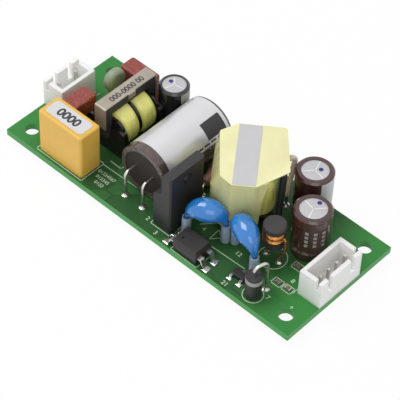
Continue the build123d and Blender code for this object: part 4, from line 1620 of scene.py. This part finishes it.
@dataclass
class SolderWork(SubAssembly):
    """Solder joints under the board, wetted pads on its top and solder at formed feet, in millimetres.

    Attributes:
        joint: The section of a joint under the board.
        wetted: The section of the solder on a top pad.
        tip: Length of a lead's end that its place is read from.
        lead_reach: How far apart points of one lead's end may be.
        clear_reach: How near its axis a lead that stands clear still is above the board.
        clear_height: How high above the board that is looked for.
        foot_margin: How far the solder at a foot stands out beyond it.
        foot_height: Its height.
        foot_inset: How far its crown stays inside its edge.
        foot_crown: How far its crown stands up, as a share of its height.
        foot_touch: How far from the board a foot may be to touch it.
        foot_reach: How far apart points of one foot may be.
        nodes: The nodes of leads that go through the board.
        open_nodes: Those of them that have wetted pads on top.
        foot_nodes: The nodes of leads with formed feet.
    """

    joint: SolderCurve = SolderCurve(0.65, -1.35, -0.05, 0.02, ((0.36, 0.28), (0.16, 0.65)))
    wetted: SolderCurve = SolderCurve(0.5, 0.35, 0.06, 0.03, ((0.45, 0.45),))
    tip: float = 0.2
    lead_reach: float = 1.1
    clear_reach: float = 0.9
    clear_height: float = 0.5
    foot_margin: float = 0.28
    foot_height: float = 0.16
    foot_inset: float = 0.14
    foot_crown: float = 0.5
    foot_touch: float = 0.01
    foot_reach: float = 1.3
    nodes: tuple[str, ...] = (
        "input_header_pins", "output_header_pins", "tinned_wire_leads", "choke_pins",
        "bulk_capacitor_leads", "output_capacitor_leads", "power_switch_leads", "safety_capacitor_leads",
        "transformer_pins", "transformer_fly_wire", "output_inductor_winding", "clamp_diode_leads",
    )
    open_nodes: tuple[str, ...] = (
        "tinned_wire_leads", "bulk_capacitor_leads", "transformer_fly_wire", "output_inductor_winding",
        "clamp_diode_leads",
    )
    foot_nodes: tuple[str, ...] = ("opto_coupler_leads", "regulator_leads")

    def spots(self, node: str) -> list[tuple[Vector, float, bool]]:
        """Find where a node's leads come out under the board.

        Args:
            node: A node of leads.

        Returns:
            Each lead's place, its radius and whether it stands clear above the board.
        """
        points = [v.co.copy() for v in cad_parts[node].data.vertices]
        lowest = min(p.z for p in points)
        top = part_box("circuit_board")[1].z
        tips = [p for p in points if p.z < lowest + self.tip * MM]
        found = []
        for group in clusters(tips, self.lead_reach * MM):
            low, high = box_round(group)
            centre = ((low + high) / 2).xy.to_3d()
            radius = max((p.xy - centre.xy).length for p in group)
            near = [p for p in points if (p.xy - centre.xy).length < self.clear_reach * MM]
            clear = any(p.z > top + self.clear_height * MM for p in near)
            found.append((centre, radius, clear))
        return found

    def foot_pad(self, low: Vector, high: Vector, top: float) -> Piece:
        """Model the solder under and round one formed foot.

        Args:
            low: The low corner of the foot's box.
            high: The high corner of the foot's box.
            top: Height of the board's top face.

        Returns:
            The soldered pad.
        """
        margin = 2 * self.foot_margin * MM
        height = self.foot_height * MM
        middle = (low + high) / 2
        clear_selection()
        bpy.ops.mesh.primitive_cube_add(size=1, location=(middle.x, middle.y, top + height / 2))
        made = bpy.context.object
        made.scale = (high.x - low.x + margin, high.y - low.y + margin, height)
        settle(made)
        pick_faces(made, lambda face: face.z > top + height - WELD)
        bpy.ops.mesh.inset(thickness=self.foot_inset * MM)
        bpy.ops.transform.translate(value=(0, 0, self.foot_crown * height))
        end_edit()
        return made

    def feet(self, node: str, top: float) -> list[Piece]:
        """Model the solder at the feet of a node of formed leads.

        Args:
            node: The node of leads.
            top: Height of the board's top face.

        Returns:
            The soldered pads.
        """
        touching = [v.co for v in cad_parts[node].data.vertices if v.co.z < top + self.foot_touch * MM]
        groups = clusters(touching, self.foot_reach * MM)
        return [self.foot_pad(*box_round(group), top) for group in groups]

    def build(self) -> None:
        """Model all joints and pads."""
        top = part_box("circuit_board")[1].z
        joints = []
        pads = []
        for node in self.nodes:
            for place, radius, clear in self.spots(node):
                joints.append(self.joint.turned(radius))
                joints[-1].data.transform(Matrix.Translation(place))
                if clear and node in self.open_nodes:
                    pads.append(self.wetted.turned(radius))
                    pads[-1].data.transform(Matrix.Translation((place.x, place.y, top)))
        for node in self.foot_nodes:
            pads += self.feet(node, top)
        finish_piece(joints, "solder_joints", SOLDER, smooth=True)
        finish_piece(pads, "wetted_top_pads", SOLDER, smooth=True)


@dataclass(frozen=True)
class Lamp:
    """A square soft lamp that faces the board.

    Attributes:
        name: Its name.
        place: Where it stands, in metres.
        size: Its side, in metres.
        power: Its power in watts.
    """

    name: str
    place: tuple[float, float, float]
    size: float
    power: float

    def build(self) -> None:
        """Add the lamp to the scene."""
        data = bpy.data.lights.new(self.name, "AREA")
        data.size = self.size
        data.energy = self.power
        made = bpy.data.objects.new(self.name, data)
        made.location = self.place
        made.rotation_mode = "QUATERNION"
        made.rotation_quaternion = (-Vector(self.place)).to_track_quat("-Z", "Y")
        bpy.context.scene.collection.objects.link(made)


@dataclass
class Studio:
    """Camera, lamps, floor and background.

    Attributes:
        azimuth: Direction of the camera round the board, in degrees.
        elevation: Its height over the board, in degrees.
        roll: Its turn about its own axis, in degrees.
        distance: Its distance from the target, in metres.
        lens: Its focal length, in millimetres.
        sensor: Width of its sensor, in millimetres.
        nearest: Distance from which it sees things, in metres.
        target: What it looks at, in millimetres.
        lamps: The lamps.
        world_light: Strength of the light from all round.
        floor_size: Side of the floor, in metres.
        floor_gap: How far the floor lies below the object, in millimetres.
        floor_colour: The floor's colour.
        floor_white: Share of plain white in the floor where it is seen directly.
    """

    azimuth: float = 41.10
    elevation: float = 48.05
    roll: float = 2.55
    distance: float = 0.4002
    lens: float = 173.4
    sensor: float = 36.0
    nearest: float = 0.01
    target: tuple[float, float, float] = (3.34, -1.88, 1.6)
    lamps: tuple[Lamp, ...] = (
        Lamp("key", (-0.25, -0.10, 0.55), 0.35, 1.9),
        Lamp("fill", (0.45, -0.45, 0.40), 0.45, 0.9),
    )
    world_light: float = 0.47
    floor_size: float = 4.0
    floor_gap: float = 0.02
    floor_colour: Colour = (0.97, 0.97, 0.97)
    floor_white: float = 0.95

    def camera(self) -> None:
        """Set the camera at the photograph's viewing angle."""
        a, e, r = (math.radians(v) for v in (self.azimuth, self.elevation, self.roll))
        back = Vector((math.sin(a) * math.cos(e), -math.cos(a) * math.cos(e), math.sin(e)))
        right = Vector((math.cos(a), math.sin(a), 0.0))
        up = back.cross(right)
        turned_right = right * math.cos(r) + up * math.sin(r)
        turned_up = up * math.cos(r) - right * math.sin(r)
        data = bpy.data.cameras.new("camera")
        data.lens = self.lens
        data.sensor_width = self.sensor
        data.sensor_fit = "HORIZONTAL"
        data.clip_start = self.nearest
        made = bpy.data.objects.new("camera", data)
        basis = Matrix((turned_right, turned_up, back)).transposed().to_4x4()
        made.matrix_world = Matrix.Translation(Vector(self.target) * MM + back * self.distance) @ basis
        bpy.context.scene.collection.objects.link(made)
        bpy.context.scene.camera = made

    @staticmethod
    def seen_directly(tree: Tree) -> Socket:
        """Tell the rays that see a thing directly, in gloss or through a tube from the rest.

        Args:
            tree: The node tree to add to.

        Returns:
            A socket that is 1 for those rays and 0 for others.
        """
        path = add_node(tree, "ShaderNodeLightPath")
        some = math_node(tree, "MAXIMUM", path.outputs["Is Camera Ray"], path.outputs["Is Glossy Ray"])
        return math_node(tree, "MAXIMUM", some, path.outputs["Is Transmission Ray"])

    def floor(self) -> None:
        """Add a plain pale floor that keeps the object's shadow."""
        clear_selection()
        level = CAD_BOX[0].z - self.floor_gap * MM
        bpy.ops.mesh.primitive_plane_add(size=self.floor_size, location=(0, 0, level))
        made = settle(bpy.context.object)
        made.name = "floor"
        material = bpy.data.materials.new("pale_floor")
        material.use_nodes = True
        tree = material.node_tree
        tree.nodes.clear()
        plain = add_node(tree, "ShaderNodeBsdfDiffuse")
        plain.inputs["Color"].default_value = linear(self.floor_colour)
        white = add_node(tree, "ShaderNodeEmission")
        mix = add_node(tree, "ShaderNodeMixShader")
        out = add_node(tree, "ShaderNodeOutputMaterial")
        share = math_node(tree, "MULTIPLY", self.seen_directly(tree), self.floor_white)
        tree.links.new(share, mix.inputs[0])
        tree.links.new(plain.outputs[0], mix.inputs[1])
        tree.links.new(white.outputs[0], mix.inputs[2])
        tree.links.new(mix.outputs[0], out.inputs["Surface"])
        made.data.materials.append(material)

    def world(self) -> None:
        """Light the scene softly from all round, with a white background."""
        made = bpy.data.worlds.new("studio")
        made.use_nodes = True
        tree = made.node_tree
        background = tree.nodes["Background"]
        background.inputs["Color"].default_value = (1, 1, 1, 1)
        direct = self.seen_directly(tree)
        extra = math_node(tree, "MULTIPLY", direct, 1.0 - self.world_light)
        tree.links.new(math_node(tree, "ADD", extra, self.world_light), background.inputs["Strength"])
        bpy.context.scene.world = made

    def build(self) -> None:
        """Set up the studio."""
        self.camera()
        for lamp in self.lamps:
            lamp.build()
        self.floor()
        self.world()
        bpy.context.scene.view_settings.view_transform = "Standard"


def main() -> None:
    """Build the supply's groups and its studio in order."""
    logging.basicConfig(level=logging.INFO, format="%(message)s")
    groups: list[SubAssembly] = [
        Board(),
        Headers(),
        MainsFilter(),
        Choke(),
        BulkCapacitor(),
        StandingCapacitor("supply_capacitor", BLACK_SLEEVE, 11.0, (-1.2, 0.25), 5.0, GREY_INK),
        StandingCapacitor("rear_output_capacitor", BROWN_SLEEVE, 108.0, (0.7, 1.0), -8.0, GREY_LABEL),
        StandingCapacitor("front_output_capacitor", BROWN_SLEEVE, 49.0, (-0.15, 2.05), 62.0, GREY_LABEL,
                          dash_columns=(-65.0, -40.0, -15.0)),
        PowerSwitch(),
        SafetyCapacitors(),
        Transformer(),
        OutputInductor(),
        OptoCoupler(),
        ClampDiode(),
        SmallParts(),
        SolderWork(),
    ]
    for group in groups:
        group.dress()
        group.build()
    Studio().build()


if __name__ == "__main__":
    main()
